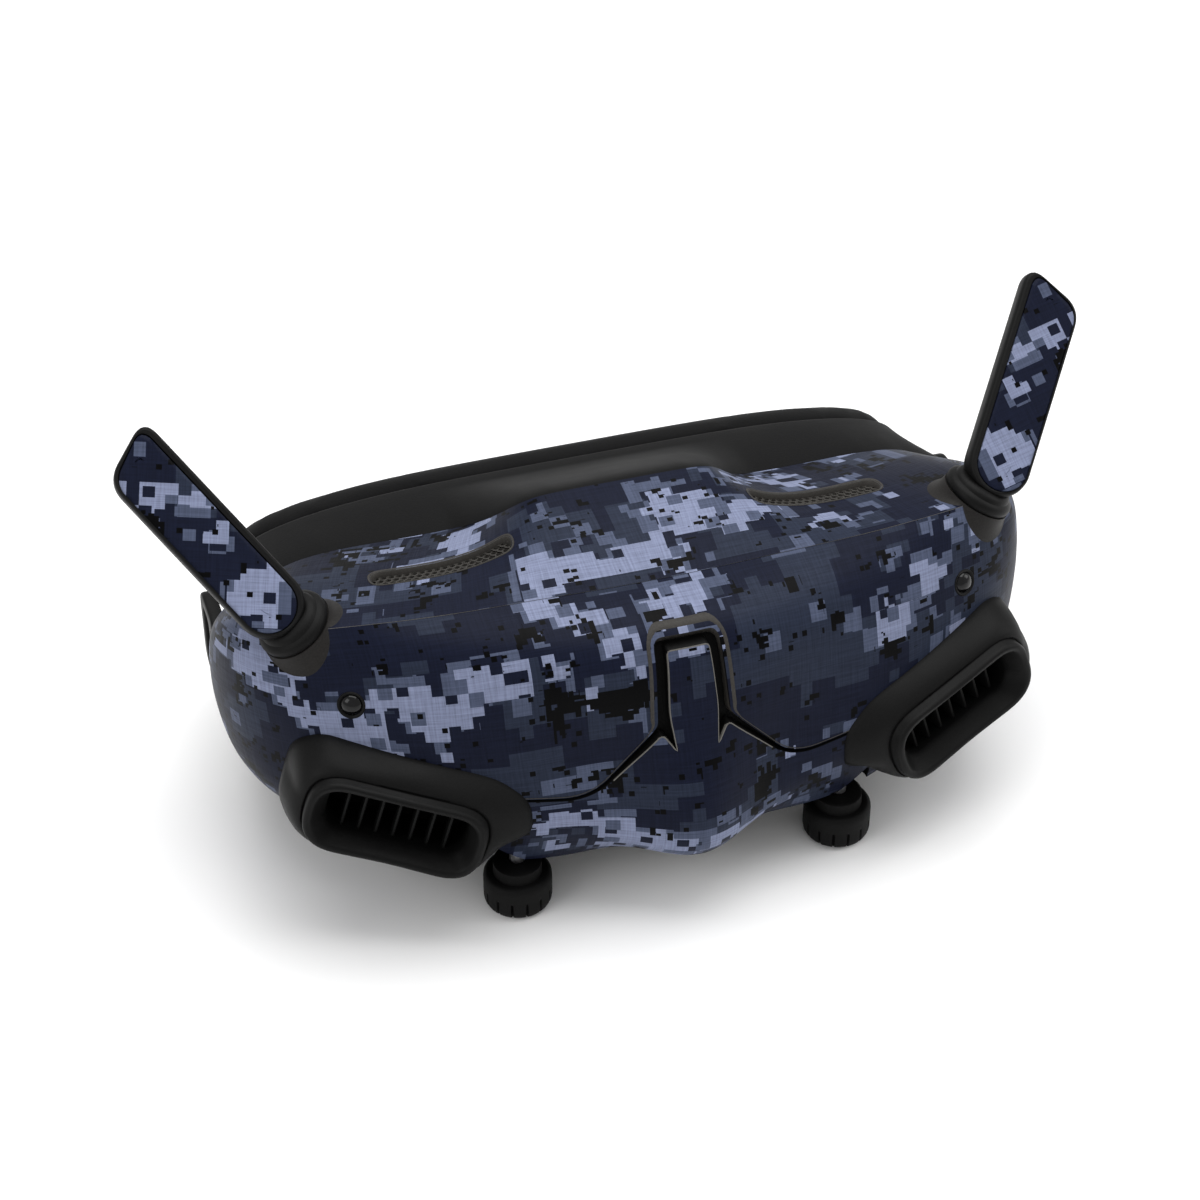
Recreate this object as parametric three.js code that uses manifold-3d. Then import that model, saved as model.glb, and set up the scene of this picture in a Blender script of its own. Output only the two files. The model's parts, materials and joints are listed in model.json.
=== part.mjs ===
// First-person-view goggles for drone flying, in millimetres, +Z up, front towards -Y.
// The wearer looks along -Y, so "left" is +X and "right" is -X.
// Origin: on the surface the goggles rest on, under the middle of their bounding box.
import * as THREE from 'three';
import { mergeVertices } from 'three/addons/utils/BufferGeometryUtils.js';
import Module from 'manifold-3d';

const wasm = await Module();
wasm.setup();

// ---------- driving dimensions ----------
const GAP = 0.3; // clearance between neighbouring pieces
const WALL = 2; // casing wall
const SIMPLER = 0.03; // the furthest that a surface may move when needless edges are dropped
const FLOOR_Z = -49; // resting surface, below the front sensors' height
const MID_Y = 24.31; // middle of the depth, behind the front sensors
const SENSOR_X = 62.3; // half the distance between the two front sensors
const EYE_X = 33.6; // half the distance between the eyepieces, mid travel
const EYE_Z = -16; // height of the optical axes
const EYE_TRAVEL = 4; // each eyepiece slides this much either way
const BARREL_R = 14.5;
const KNOB_Y = -10.6;
const KNOB_R = 6.8;
const KNOB_H = 8;
const FLOOR_PLATE_Z = -35.6; // top of the bottom cover
const BULKHEAD_Y = 44; // front of the black plate around the eyepieces

// ---------- materials ----------
const finish = (color, roughness, metalness = 0) =>
  new THREE.MeshStandardMaterial({ color, roughness, metalness });
const PRINTED = finish(0x5c6486, 0.6);
const BLACK = finish(0x1b1b1c, 0.65);
const GREY = finish(0x4c4a46, 0.55);
const GLOSS = finish(0x08080a, 0.15);
const GLASS = finish(0x9fb4c8, 0.05);
const FOAM = finish(0x222224, 0.95);
const METAL = finish(0xb8babd, 0.35, 0.9);
const BOARD = finish(0x1f4a33, 0.5);

// ---------- solids ----------
function toSolid(geometry) {
  const bare = geometry.clone();
  bare.deleteAttribute('normal');
  bare.deleteAttribute('uv');
  const merged = mergeVertices(bare, 1e-4);
  const index = merged.index.array;
  const triangles = [];
  for (let i = 0; i < index.length; i += 3) {
    const [a, b, c] = [index[i], index[i + 1], index[i + 2]];
    if (a !== b && b !== c && c !== a) triangles.push(a, b, c);
  }
  return new wasm.Manifold(new wasm.Mesh({
    numProp: 3,
    vertProperties: Float32Array.from(merged.attributes.position.array),
    triVerts: Uint32Array.from(triangles),
  }));
}

function toGeometry(solid) {
  const mesh = solid.getMesh();
  const geometry = new THREE.BufferGeometry();
  geometry.setAttribute('position', new THREE.BufferAttribute(mesh.vertProperties, 3));
  geometry.setIndex(new THREE.BufferAttribute(mesh.triVerts, 1));
  geometry.computeVertexNormals();
  return geometry;
}

function mirrored(geometry) {
  const copy = geometry.clone().scale(-1, 1, 1);
  const index = copy.index.array;
  for (let i = 0; i < index.length; i += 3) {
    [index[i + 1], index[i + 2]] = [index[i + 2], index[i + 1]];
  }
  return copy;
}

const goggles = new THREE.Group();
goggles.position.set(0, -MID_Y, -FLOOR_Z);

// Cutting can leave loose slivers and needless edges: the piece is the largest body, made simpler.
function mainBody(solid) {
  const bodies = solid.simplify(SIMPLER).decompose();
  return bodies.reduce((best, body) => (body.volume() > best.volume() ? body : best));
}

function add(name, solid, material) {
  const mesh = new THREE.Mesh(toGeometry(mainBody(solid)), material);
  mesh.name = name;
  goggles.add(mesh);
}

// One piece on the wearer's left, modelled at +X, and its mirror image on the right.
function addPair(name, solid, material) {
  const geometry = toGeometry(mainBody(solid));
  const left = new THREE.Mesh(geometry, material);
  left.name = `${name}_left`;
  const right = new THREE.Mesh(mirrored(geometry), material);
  right.name = `${name}_right`;
  goggles.add(left, right);
}

const mirrorSolid = (solid) => toSolid(mirrored(toGeometry(solid)));
const both = (solid) => solid.add(mirrorSolid(solid));

function box(x0, x1, y0, y1, z0, z1) {
  const geometry = new THREE.BoxGeometry(x1 - x0, y1 - y0, z1 - z0);
  return toSolid(geometry.translate((x0 + x1) / 2, (y0 + y1) / 2, (z0 + z1) / 2));
}

// A frame of axes: local X, Y and Z, and where its origin lies.
function placed(geometry, origin, xAxis, zAxis) {
  const z = zAxis.clone().normalize();
  const y = z.clone().cross(xAxis).normalize();
  const x = y.clone().cross(z);
  const matrix = new THREE.Matrix4().makeBasis(x, y, z).setPosition(origin);
  return toSolid(geometry.clone().applyMatrix4(matrix));
}

// A turned body: [radius, height] pairs from one end of the axis to the other.
function turned(profile, origin, axis, segments = 24) {
  const points = profile.map(([r, h]) => new THREE.Vector2(r, h));
  const geometry = new THREE.LatheGeometry(points, segments).rotateX(Math.PI / 2);
  const side = Math.abs(axis.x) > 0.9 ? new THREE.Vector3(0, 1, 0) : new THREE.Vector3(1, 0, 0);
  return placed(geometry, origin, side, axis);
}

const rod = (r, length, origin, axis, segments = 24) =>
  turned([[0, 0], [r, 0], [r, length], [0, length]], origin, axis, segments);

const tube = (r, bore, length, origin, axis, segments = 24) =>
  turned([[bore, 0], [r, 0], [r, length], [bore, length], [bore, 0]], origin, axis, segments);

const X = new THREE.Vector3(1, 0, 0);
const Y = new THREE.Vector3(0, 1, 0);
const Z = new THREE.Vector3(0, 0, 1);
const at = (x, y, z) => new THREE.Vector3(x, y, z);

// A rectangle with round corners, centred on cx, cy.
function roundRect(width, height, radius, cx = 0, cy = 0) {
  const [hx, hy, r] = [width / 2, height / 2, Math.min(radius, width / 2, height / 2) - 1e-3];
  const shape = new THREE.Shape();
  shape.absarc(cx + hx - r, cy + hy - r, r, 0, Math.PI / 2, false);
  shape.absarc(cx - hx + r, cy + hy - r, r, Math.PI / 2, Math.PI, false);
  shape.absarc(cx - hx + r, cy - hy + r, r, Math.PI, 1.5 * Math.PI, false);
  shape.absarc(cx + hx - r, cy - hy + r, r, 1.5 * Math.PI, 2 * Math.PI, false);
  return shape;
}

const polygon = (points) => new THREE.Shape(points.map(([x, y]) => new THREE.Vector2(x, y)));

const prism = (shape, depth, curveSegments = 4) =>
  new THREE.ExtrudeGeometry(shape, { depth, bevelEnabled: false, curveSegments });

// A shape drawn in a plane across an axis and extruded along it from a height.
const prismZ = (shape, z0, z1) => toSolid(prism(shape, z1 - z0).translate(0, 0, z0));
// The shape's own x and y become X and Z.
const prismY = (shape, y0, y1) =>
  toSolid(prism(shape, y1 - y0).rotateX(Math.PI / 2).translate(0, y1, 0));

// Rows of points in space made into a closed body.
function closedBody(rows, faces) {
  const geometry = new THREE.BufferGeometry();
  const flat = rows.flat().flatMap((p) => [p.x, p.y, p.z]);
  geometry.setAttribute('position', new THREE.Float32BufferAttribute(flat, 3));
  geometry.setIndex(faces);
  return toSolid(geometry);
}

// A body through closed rings of points, its two ends closed by fans.
function loft(rings) {
  const n = rings[0].length;
  const ends = [rings[0], rings[rings.length - 1]].map((ring) =>
    ring.reduce((sum, p) => sum.add(p), at(0, 0, 0)).divideScalar(n));
  const faces = [];
  for (let j = 0; j + 1 < rings.length; j += 1) {
    for (let i = 0; i < n; i += 1) {
      const k = (i + 1) % n;
      const [a, b, c, d] = [j * n + i, j * n + k, (j + 1) * n + k, (j + 1) * n + i];
      faces.push(a, b, c, a, c, d);
    }
  }
  const [first, last] = [rings.length * n, rings.length * n + 1];
  for (let i = 0; i < n; i += 1) {
    const k = (i + 1) % n;
    faces.push(first, k, i, last, (rings.length - 1) * n + i, (rings.length - 1) * n + k);
  }
  return closedBody([...rings, ends], faces);
}

// A body that closes on itself through a loop of rings, such as a padded frame.
function ringLoft(rings) {
  const n = rings[0].length;
  const faces = [];
  for (let j = 0; j < rings.length; j += 1) {
    for (let i = 0; i < n; i += 1) {
      const [k, l] = [(i + 1) % n, (j + 1) % rings.length];
      const [a, b, c, d] = [j * n + i, j * n + k, l * n + k, l * n + i];
      faces.push(a, b, c, a, c, d);
    }
  }
  return closedBody(rings, faces);
}

// A wall between two grids of points of the same size, the first one outside.
function wall(outer, inner) {
  const [rows, columns] = [outer.length, outer[0].length];
  const id = (side, j, i) => side * rows * columns + j * columns + i;
  const faces = [];
  const quad = (a, b, c, d) => faces.push(a, b, c, a, c, d);
  for (let j = 0; j + 1 < rows; j += 1) {
    for (let i = 0; i + 1 < columns; i += 1) {
      quad(id(0, j, i), id(0, j + 1, i), id(0, j + 1, i + 1), id(0, j, i + 1));
      quad(id(1, j, i), id(1, j, i + 1), id(1, j + 1, i + 1), id(1, j + 1, i));
    }
  }
  for (let j = 0; j + 1 < rows; j += 1) {
    const end = columns - 1;
    quad(id(0, j, 0), id(1, j, 0), id(1, j + 1, 0), id(0, j + 1, 0));
    quad(id(0, j, end), id(0, j + 1, end), id(1, j + 1, end), id(1, j, end));
  }
  for (let i = 0; i + 1 < columns; i += 1) {
    const end = rows - 1;
    quad(id(0, 0, i), id(0, 0, i + 1), id(1, 0, i + 1), id(1, 0, i));
    quad(id(0, end, i), id(1, end, i), id(1, end, i + 1), id(0, end, i + 1));
  }
  return closedBody([...outer, ...inner], faces);
}

// A smooth grid through a coarse one, and the same grid moved inwards along its normals.
function refine(net, rows, columns) {
  const across = net.map((row) => new THREE.CatmullRomCurve3(row, false, 'centripetal'));
  const grid = Array.from({ length: rows + 1 }, () => []);
  for (let i = 0; i <= columns; i += 1) {
    const column = new THREE.CatmullRomCurve3(across.map((curve) => curve.getPoint(i / columns)),
      false, 'centripetal');
    for (let j = 0; j <= rows; j += 1) grid[j].push(column.getPoint(j / rows));
  }
  return grid;
}

function offset(grid, depth) {
  const [rows, columns] = [grid.length, grid[0].length];
  const clamp = (v, top) => Math.max(0, Math.min(top, v));
  return grid.map((row, j) => row.map((p, i) => {
    const along = grid[j][clamp(i + 1, columns - 1)].clone().sub(grid[j][clamp(i - 1, columns - 1)]);
    const down = grid[clamp(j + 1, rows - 1)][i].clone().sub(grid[clamp(j - 1, rows - 1)][i]);
    const normal = down.cross(along).normalize();
    return p.clone().addScaledVector(normal, -depth);
  }));
}

// ---------- the casing's outer surface ----------
// Stations round the front from the middle to the left side's rear, each from the top seam down:
// [x, y, z] at seam, brow, sensor height, mid, lower, lip and underside edge.
const STATIONS = [
  [[0, 3.3, 13.2], [0, -10.2, 11.2], [0, -16.5, 0], [0, -21.5, -12],
    [0, -26, -24], [0, -25.5, -32], [0, -20, -37.4]],
  [[12, 3.5, 13.2], [12, -9.6, 11], [12, -15.6, 0], [12, -18, -12],
    [12, -21, -24], [12, -20.8, -31], [12, -15, -37.2]],
  [[24, 4, 13.2], [24, -7.6, 10.5], [24, -13, 0], [24, -15.2, -12],
    [24, -17.4, -22], [24, -17.6, -28], [24, -14, -36.8]],
  [[37, 4.6, 13.1], [37, -4.2, 9.8], [37, -9.6, 0], [37, -12.8, -11],
    [37, -14.6, -20], [37, -14.6, -27], [37, -11.4, -36.8]],
  [[50, 5.6, 13.1], [50, -0.4, 9.2], [50, -5.2, 0], [50, -8.2, -9],
    [50, -9, -18], [50, -8.6, -27], [50, -5, -36.8]],
  [[62.3, 7.2, 13.1], [62.3, 3.6, 8.6], [62.3, 0, 0], [62.3, -2.4, -8],
    [62.3, -3, -18], [62.3, -2, -27], [62, 4, -36.8]],
  [[70, 11, 11.2], [71, 7.6, 7], [71.8, 5, 0], [72, 3.6, -8],
    [72, 3.6, -18], [71.4, 5, -27], [68.5, 12, -36.8]],
  [[75.4, 16, 9.2], [77.4, 13.4, 6], [78.6, 12, 0], [79, 11.4, -8],
    [78.8, 11.6, -18], [77.6, 13, -27], [73.5, 18, -36.8]],
  [[78.6, 23.6, 6.4], [81, 22, 3.6], [82.4, 21.6, -2.4], [82.9, 21.4, -10],
    [82.5, 21.8, -19], [80.8, 23, -28], [76.5, 26, -36.8]],
  [[79.4, 32, 1.8], [81.6, 32, -0.4], [83.2, 32, -5], [83.7, 32, -12],
    [83.2, 32, -20], [81.2, 32, -29], [77, 34, -36.8]],
  [[77.9, 41.6, -4.2], [79.7, 41.6, -6.2], [81, 41.6, -9.6], [81.6, 41.6, -14.5],
    [81.1, 41.6, -21], [79.2, 41.6, -29.5], [75.5, 41.6, -36.8]],
].map((station) => station.map(([x, y, z]) => at(x, y, z)));

// The rear edge of the top cover at the same stations: a raised hump in the middle.
const TOP_REAR = [
  [0, 29, 18.4], [14, 29, 18.3], [19.5, 30.4, 16.4], [25.5, 35.6, 9.8], [32, 39.3, 6.1], [45, 40.2, 5.4],
  [57, 40.8, 4.9], [65, 41.1, 3.4], [70, 41.3, 0.8], [73, 41.4, -1.2], [74.4, 41.5, -2.1],
].map(([x, y, z]) => at(x, y, z));

const flip = (p) => at(-p.x, p.y, p.z);
const wholeRow = (half) => [...half.slice(1).reverse().map(flip), ...half];
const levels = STATIONS[0].map((_, j) => wholeRow(STATIONS.map((station) => station[j])));
const COLUMNS = 24;
const frontGrid = refine(levels, 6, COLUMNS);
const frontWall = (from, to) => wall(offset(frontGrid, from), offset(frontGrid, to));

const seam = STATIONS.map((station) => station[0]);
const CROWN = 0.9;
const topNet = (rear, over) => [rear, 0.67, 0.34, 0].map((v) => wholeRow(seam.map((front, i) => {
  const back = TOP_REAR[i].clone().sub(front);
  const p = front.clone().addScaledVector(back, v);
  p.z += CROWN * 4 * v * (1 - v) + GAP;
  return v === 0 ? p.addScaledVector(back.normalize(), -over) : p;
})));
const topGrid = refine(topNet(0.975, 0), 3, COLUMNS);
const topWall = wall(topGrid, offset(topGrid, WALL));
// The room that the top cover takes up, with clearance, past its front edge.
const topRoomGrid = refine(topNet(1, 3 * GAP), 3, COLUMNS);
const topRoom = wall(offset(topRoomGrid, -2), offset(topRoomGrid, WALL + 2 * GAP));

// ---------- vents: a local frame for each exhaust snout ----------
const VENT = at(57.2, -12.4, -21.4);
const VENT_ALONG = at(0.9, 0.33, 0.27).normalize();
const VENT_OUT = at(0.31, -0.93, 0.1).normalize();
const VENT_UP = VENT_OUT.clone().cross(VENT_ALONG).normalize();
const ventPoint = (x, y, z) => VENT.clone().addScaledVector(VENT_ALONG, x)
  .addScaledVector(VENT_UP, y).addScaledVector(VENT_OUT, z);

// A rounded ring in the vent's frame, wider by grow, at a depth.
function ventRing(x0, x1, y0, y1, radius, z, lean = 0) {
  const shape = roundRect(x1 - x0, y1 - y0, radius, (x0 + x1) / 2, (y0 + y1) / 2);
  const points = shape.getPoints(3).slice(0, -1);
  return points.map((p) => ventPoint(p.x, p.y, z + lean * p.x));
}

// The snout's back end is broad and lies inside the casing, its front end is the bezel.
const snout = (grow) => loft([
  ventRing(-15.5 - grow, 17 + grow, -7 - grow, 8 + grow, 4, -10.5),
  ventRing(-21.5 - grow, 20.5 + grow, -9 - grow, 11.5 + grow, 6, -5),
  ventRing(-18.6 - grow, 19.4 + grow, -8.6 - grow, 9 + grow, 6, -0.5),
  ventRing(-17.6 - grow, 18.6 + grow, -8.4 - grow, 8.2 + grow, 6.4, 2.4),
]);
const ventDuct = (grow) => loft([
  ventRing(-13.6 - grow, 14.4 + grow, -5 - grow, 5.6 + grow, 3.6, -20),
  ventRing(-13.6 - grow, 14.4 + grow, -5 - grow, 5.6 + grow, 3.6, -1.4),
  ventRing(-16.6 - grow, 17.6 + grow, -7.2 - grow, 7.2 + grow, 5.4, 2.6),
]);
const SLATS = 7;
const SLAT_PITCH = 3.35;
const SLAT = 0.9;

// A rectangle with cut corners, as a prism in the vent's frame.
function ventFrame(grow, z0, z1) {
  const [x0, x1, y0, y1, cut] = [-13.3 - grow, 14.1 + grow, -4.7 - grow, 5.3 + grow, 2.2];
  const shape = polygon([[x0 + cut, y0], [x1 - cut, y0], [x1, y0 + cut], [x1, y1 - cut],
    [x1 - cut, y1], [x0 + cut, y1], [x0, y1 - cut], [x0, y0 + cut]]);
  return placed(prism(shape, z1 - z0).translate(0, 0, z0), VENT, VENT_ALONG, VENT_OUT);
}

function ventLouvre() {
  let louvre = ventFrame(0, -7.5, -2.2).subtract(ventFrame(-1, -8, -1.7));
  const slat = new THREE.BoxGeometry(SLAT, 9, 4.6).translate(0, 0.3, 2.3);
  for (let i = 0; i < SLATS; i += 1) {
    const x = (i - (SLATS - 1) / 2) * SLAT_PITCH + 0.4;
    louvre = louvre.add(placed(slat, ventPoint(x, 0, -7.2), VENT_ALONG, VENT_OUT));
  }
  return louvre;
}

// ---------- antennas ----------
const BOSS_AXIS = at(0.5, -0.05, 0.86).normalize();
const COLLAR = at(69.7, 12.9, 11.4); // middle of the collar's lower rim
const BLADE_BASE = at(73.9, 12.2, 18.1); // centre of the round end, on the printed face
const BLADE_ALONG = at(0.52, 0.62, 0.58).normalize();
const BLADE_OUT = at(0.04, -0.7, 0.71).normalize();
const BLADE_SIDE = BLADE_ALONG.clone().cross(BLADE_OUT).normalize();
const BLADE_W = 13.2;
const BLADE_L = 39.2; // from the round end's centre to the tip
const BLADE_T = 4.6;
const TIP_SLANT = 2.3; // the inner edge is longer, the outer one shorter
const TIP_R = 3.4;
const FACE_SHIFT = 0.6; // the printed plate sits nearer the outer edge
const PIVOT = BLADE_BASE.clone().addScaledVector(BLADE_OUT, -BLADE_T).addScaledVector(BLADE_ALONG, 3);
const FOLD_AXIS = at(-0.6, 0.2, 0.76).normalize();
const SWEEP_STEPS = 4;
const FOLD_MAX = 46; // degrees from deployed to folded back over the shoulder
const bossAt = (h) => COLLAR.clone().addScaledVector(BOSS_AXIS, h);

function bladeOutline(inset) {
  const h = BLADE_W / 2 - inset;
  const [top, bottom] = [BLADE_L + TIP_SLANT - inset, BLADE_L - TIP_SLANT - inset];
  const shape = new THREE.Shape();
  shape.absarc(0, 0, h, Math.PI, 2 * Math.PI, false);
  shape.lineTo(h, bottom - TIP_R);
  shape.quadraticCurveTo(h, bottom, h - TIP_R, bottom + TIP_SLANT * 0.5);
  shape.lineTo(-h + TIP_R, top - TIP_SLANT * 0.5);
  shape.quadraticCurveTo(-h, top, -h, top - TIP_R);
  return shape;
}

// The blade's outline lies in the plane of BLADE_SIDE and BLADE_ALONG.
function bladeSlab(inset, z0, z1, shift = 0) {
  const geometry = new THREE.ExtrudeGeometry(bladeOutline(inset),
    { depth: z1 - z0, bevelEnabled: false, curveSegments: 4 }).translate(shift, 0, z0);
  const matrix = new THREE.Matrix4().makeBasis(BLADE_SIDE, BLADE_ALONG, BLADE_OUT)
    .setPosition(BLADE_BASE);
  return toSolid(geometry.applyMatrix4(matrix));
}

// The room that a solid sweeps while the antenna folds.
function folded(geometry, degrees) {
  const turn = new THREE.Matrix4().makeRotationAxis(FOLD_AXIS, THREE.MathUtils.degToRad(degrees));
  const matrix = new THREE.Matrix4().makeTranslation(PIVOT.x, PIVOT.y, PIVOT.z).multiply(turn)
    .multiply(new THREE.Matrix4().makeTranslation(-PIVOT.x, -PIVOT.y, -PIVOT.z));
  return toSolid(geometry.clone().applyMatrix4(matrix));
}

function bladeSweep() {
  const slab = toGeometry(bladeSlab(-GAP, -BLADE_T - GAP, 1));
  let room = toSolid(slab);
  for (let i = 1; i <= SWEEP_STEPS; i += 1) room = room.add(folded(slab, (i / SWEEP_STEPS) * FOLD_MAX));
  return room;
}

const knuckle = (r, from, to) =>
  rod(r, to - from, PIVOT.clone().addScaledVector(FOLD_AXIS, from), FOLD_AXIS, 8);
const EAR = 2; // half the length of the collar's hinge ear
const KNUCKLE_R = 2;
const earFoot = bossAt(0.8).lerp(PIVOT, 0.45).addScaledVector(BOSS_AXIS, -1.8);
const earStalk = PIVOT.clone().sub(earFoot);
const ear = (grow) => knuckle(KNUCKLE_R + grow, -EAR - grow, EAR + grow)
  .add(rod(1.6 + grow, earStalk.length(), earFoot, earStalk, 8));
const collarDisc = (grow) => turned([[0, -grow], [7.1 + grow, -grow], [7.2 + grow, 0.9], [6.8 + grow, 2],
  [5.6 + grow, 2.6 + grow], [0, 2.6 + grow]], COLLAR, BOSS_AXIS, 16);
const bossSkirt = (grow, bottom) => turned([[0, bottom], [9.6 + grow, bottom], [9.6 + grow, -7.5],
  [8.6 + grow, -4.5], [7.6 + grow, -1.8], [7.3 + grow, -GAP], [0, -GAP]], COLLAR, BOSS_AXIS, 16);
const bossRoom = bossSkirt(GAP, -14).add(collarDisc(GAP));
const bossBore = turned([[0, -14], [10, -14], [10, -7.2], [7.8, -1.4], [7.8, 4], [0, 4]],
  COLLAR, BOSS_AXIS, 16);
const collar = collarDisc(0).subtract(bladeSweep()).add(ear(0)).subtract(knuckle(1.1, -5, 5));
const blade = bladeSlab(0, -BLADE_T, 0).subtract(bladeSlab(1.2, -1, 1, FACE_SHIFT))
  .subtract(bossRoom).add(knuckle(KNUCKLE_R, -4.6, -EAR - GAP)).add(knuckle(KNUCKLE_R, EAR + GAP, 4.6))
  .subtract(ear(GAP)).subtract(knuckle(1.1, -5, 5));

addPair('antenna_boss', bossSkirt(0, -12).subtract(bladeSlab(-GAP, -BLADE_T - GAP, 1)), GREY);
addPair('antenna_collar', collar, BLACK);
addPair('antenna_blade', blade, BLACK);
addPair('antenna_faceplate', bladeSlab(1.2 + GAP, -0.7, 0, FACE_SHIFT), PRINTED);
addPair('antenna_hinge_pin', knuckle(0.8, -4.6, 4.6), METAL);

// ---------- nose groove and chin ----------
const mirrorPoints = (half) => [...half, ...half.slice().reverse().map(([x, z]) => [-x, z])];
const frontPrism = (points, y0 = -40, y1 = 20) => prismY(polygon(points), y0, y1);
const CHIN = mirrorPoints([[3.9, 8.4], [4.4, -2], [6.6, -7.4], [20.6, -20.6], [32.2, -19.6], [32.6, -50]]);
const ARCH = mirrorPoints([[6.4, 10.6], [7.2, -5.6], [4.9, -3], [4.3, 8.8]]);
const chinPrism = frontPrism(CHIN);
const growHalf = (points, d) => points.map(([x, z]) => [x + Math.sign(x) * d, z + d]);
const chinRoom = frontPrism(growHalf(CHIN, GAP));
const archRoom = frontPrism([[-7.4, 11], [-7.6, -8], [7.6, -8], [7.4, 11]], -40, 0);

const chin = frontWall(0, WALL).intersect(chinPrism);
const archTrim = frontWall(WALL * 0.5, WALL).intersect(frontPrism(ARCH.map(([x, z]) => [x * 0.99, z])))
  .subtract(chinRoom);

// ---------- front and top covers ----------
const gridNormal = (x, z) => {
  const [near] = frontGrid.flatMap((row, j) => row.map((p, i) => ({ p, i, j })))
    .sort((a, b) => Math.hypot(a.p.x - x, a.p.z - z) - Math.hypot(b.p.x - x, b.p.z - z));
  const inner = offset(frontGrid, 1)[near.j][near.i];
  return near.p.clone().sub(inner).normalize();
};
const SENSOR = at(SENSOR_X, 0, 0);
const SENSOR_OUT = gridNormal(SENSOR_X, 0);
const sensorAt = (h) => SENSOR.clone().addScaledVector(SENSOR_OUT, h);
const sensorRoom = rod(2.5 + GAP, 12, sensorAt(-8), SENSOR_OUT);
const sensorWindow = turned([[0, -3.4], [2.5, -3.4], [2.5, -0.2], [1.8, 0.5], [0, 0.8]],
  SENSOR, SENSOR_OUT);

const SHAFT_R = 1.6;
const shaftSlot = prismZ(roundRect(2 * (EYE_TRAVEL + SHAFT_R + 0.5), 2 * (SHAFT_R + 0.5),
  SHAFT_R + 0.5, EYE_X, KNOB_Y), -50, -31.6);
const ARM = { half: 2.2, front: -9.2, rear: 13.4, rise: 2.4, drop: 0.6 };
const BLOCK_TOP = EYE_Z - BARREL_R - GAP - 0.1;
const armBox = (grow, travel) => box(EYE_X - ARM.half - travel - grow, EYE_X + ARM.half + travel + grow,
  ARM.front - grow, ARM.rear + grow, BLOCK_TOP - ARM.drop - grow, BLOCK_TOP + ARM.rise + grow);
const frontCover = frontWall(0, WALL).subtract(chinRoom).subtract(archRoom).subtract(topRoom)
  .subtract(both(snout(GAP))).subtract(both(sensorRoom)).subtract(both(bossBore)).subtract(both(shaftSlot));

const SLOT_FROM = at(24.4, 21.2, 13);
const SLOT_TO = at(52.4, 22.8, 10);
const SLOT_W = 6;
const slotAxis = SLOT_TO.clone().sub(SLOT_FROM);
const slotShape = (grow) => roundRect(slotAxis.length() + 2 * grow, SLOT_W + 2 * grow, SLOT_W / 2 + grow,
  slotAxis.length() / 2, 0);
const SLOT_UP = at(0.1, 0.22, 0.97);
const slotRoom = (grow, z0, z1) => placed(prism(slotShape(grow), z1 - z0).translate(0, 0, z0),
  SLOT_FROM, slotAxis, SLOT_UP);
const topCover = topWall.subtract(both(slotRoom(0, -12, 12))).subtract(both(bossBore));

function intakeGrille() {
  const [holes, pitch] = [5, 5.4];
  const length = slotAxis.length();
  let plate = slotRoom(1.2, -4.8, -3.8);
  for (let i = 0; i < holes; i += 1) {
    const x = length / 2 + (i - (holes - 1) / 2) * pitch;
    const slit = new THREE.BoxGeometry(4.2, SLOT_W - 1.4, 4).translate(x, 0, -4);
    plate = plate.subtract(placed(slit, SLOT_FROM, slotAxis, SLOT_UP));
  }
  return plate;
}

add('front_cover', frontCover, PRINTED);
add('top_cover', topCover, PRINTED);
add('chin_cover', chin.subtract(both(shaftSlot)), PRINTED);
add('nose_arch_trim', archTrim, GREY);
addPair('front_sensor_window', sensorWindow, GLOSS);
addPair('exhaust_vent', snout(0).subtract(ventDuct(0)).subtract(shaftSlot)
  .subtract(armBox(GAP, EYE_TRAVEL)), BLACK);
addPair('vent_louvre', ventLouvre(), BLACK);
addPair('intake_grille', intakeGrille(), BLACK);

// ---------- bottom cover ----------
const FLOOR_T = 2;
const underside = frontGrid[frontGrid.length - 1];
const planShape = (inset, rear) => polygon([
  ...underside.map((p) => [p.x * (1 - inset / 76), p.y + inset * 1.6]),
  [underside[underside.length - 1].x * (1 - inset / 76), rear],
  [underside[0].x * (1 - inset / 76), rear],
]);
const BUTTON = [64, 28]; // link button, in the bottom cover
const BUTTON_R = 3;
const buttonAt = (z) => at(BUTTON[0], BUTTON[1], z);
const bottomCover = prismZ(planShape(3.3, BULKHEAD_Y - 2.2), FLOOR_PLATE_Z - FLOOR_T, FLOOR_PLATE_Z)
  .subtract(both(shaftSlot))
  .subtract(rod(BUTTON_R + GAP, 6, buttonAt(FLOOR_PLATE_Z - 4), Z))
  .subtract(both(snout(GAP)));
add('bottom_cover', bottomCover, BLACK);

// ---------- eye shield, foam and the plate round the eyepieces ----------
// Rings round the face opening:
// [half width, top, bottom, top y, bottom y, nose notch, side sweep, squareness].
const RING_POINTS = 32;
function faceRing([half, top, bottom, topY, bottomY, notch, sweep, square]) {
  const [middle, reach] = [(top + bottom) / 2, (top - bottom) / 2];
  return Array.from({ length: RING_POINTS }, (_, i) => {
    const angle = (2 * Math.PI * (i + 0.5)) / RING_POINTS;
    const [c, s] = [Math.cos(angle), Math.sin(angle)];
    const x = half * Math.sign(c) * Math.abs(c) ** (2 / square);
    let z = middle + reach * Math.sign(s) * Math.abs(s) ** (2 / square);
    const low = (top - z) / (top - bottom);
    if (s < 0) z += notch * Math.exp(-((x / 19) ** 2)) * Math.min(1, 2 * low - 1);
    return at(x, topY + (bottomY - topY) * low + sweep * (x / half) ** 4 * Math.sin(Math.PI * low), z);
  });
}
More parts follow.
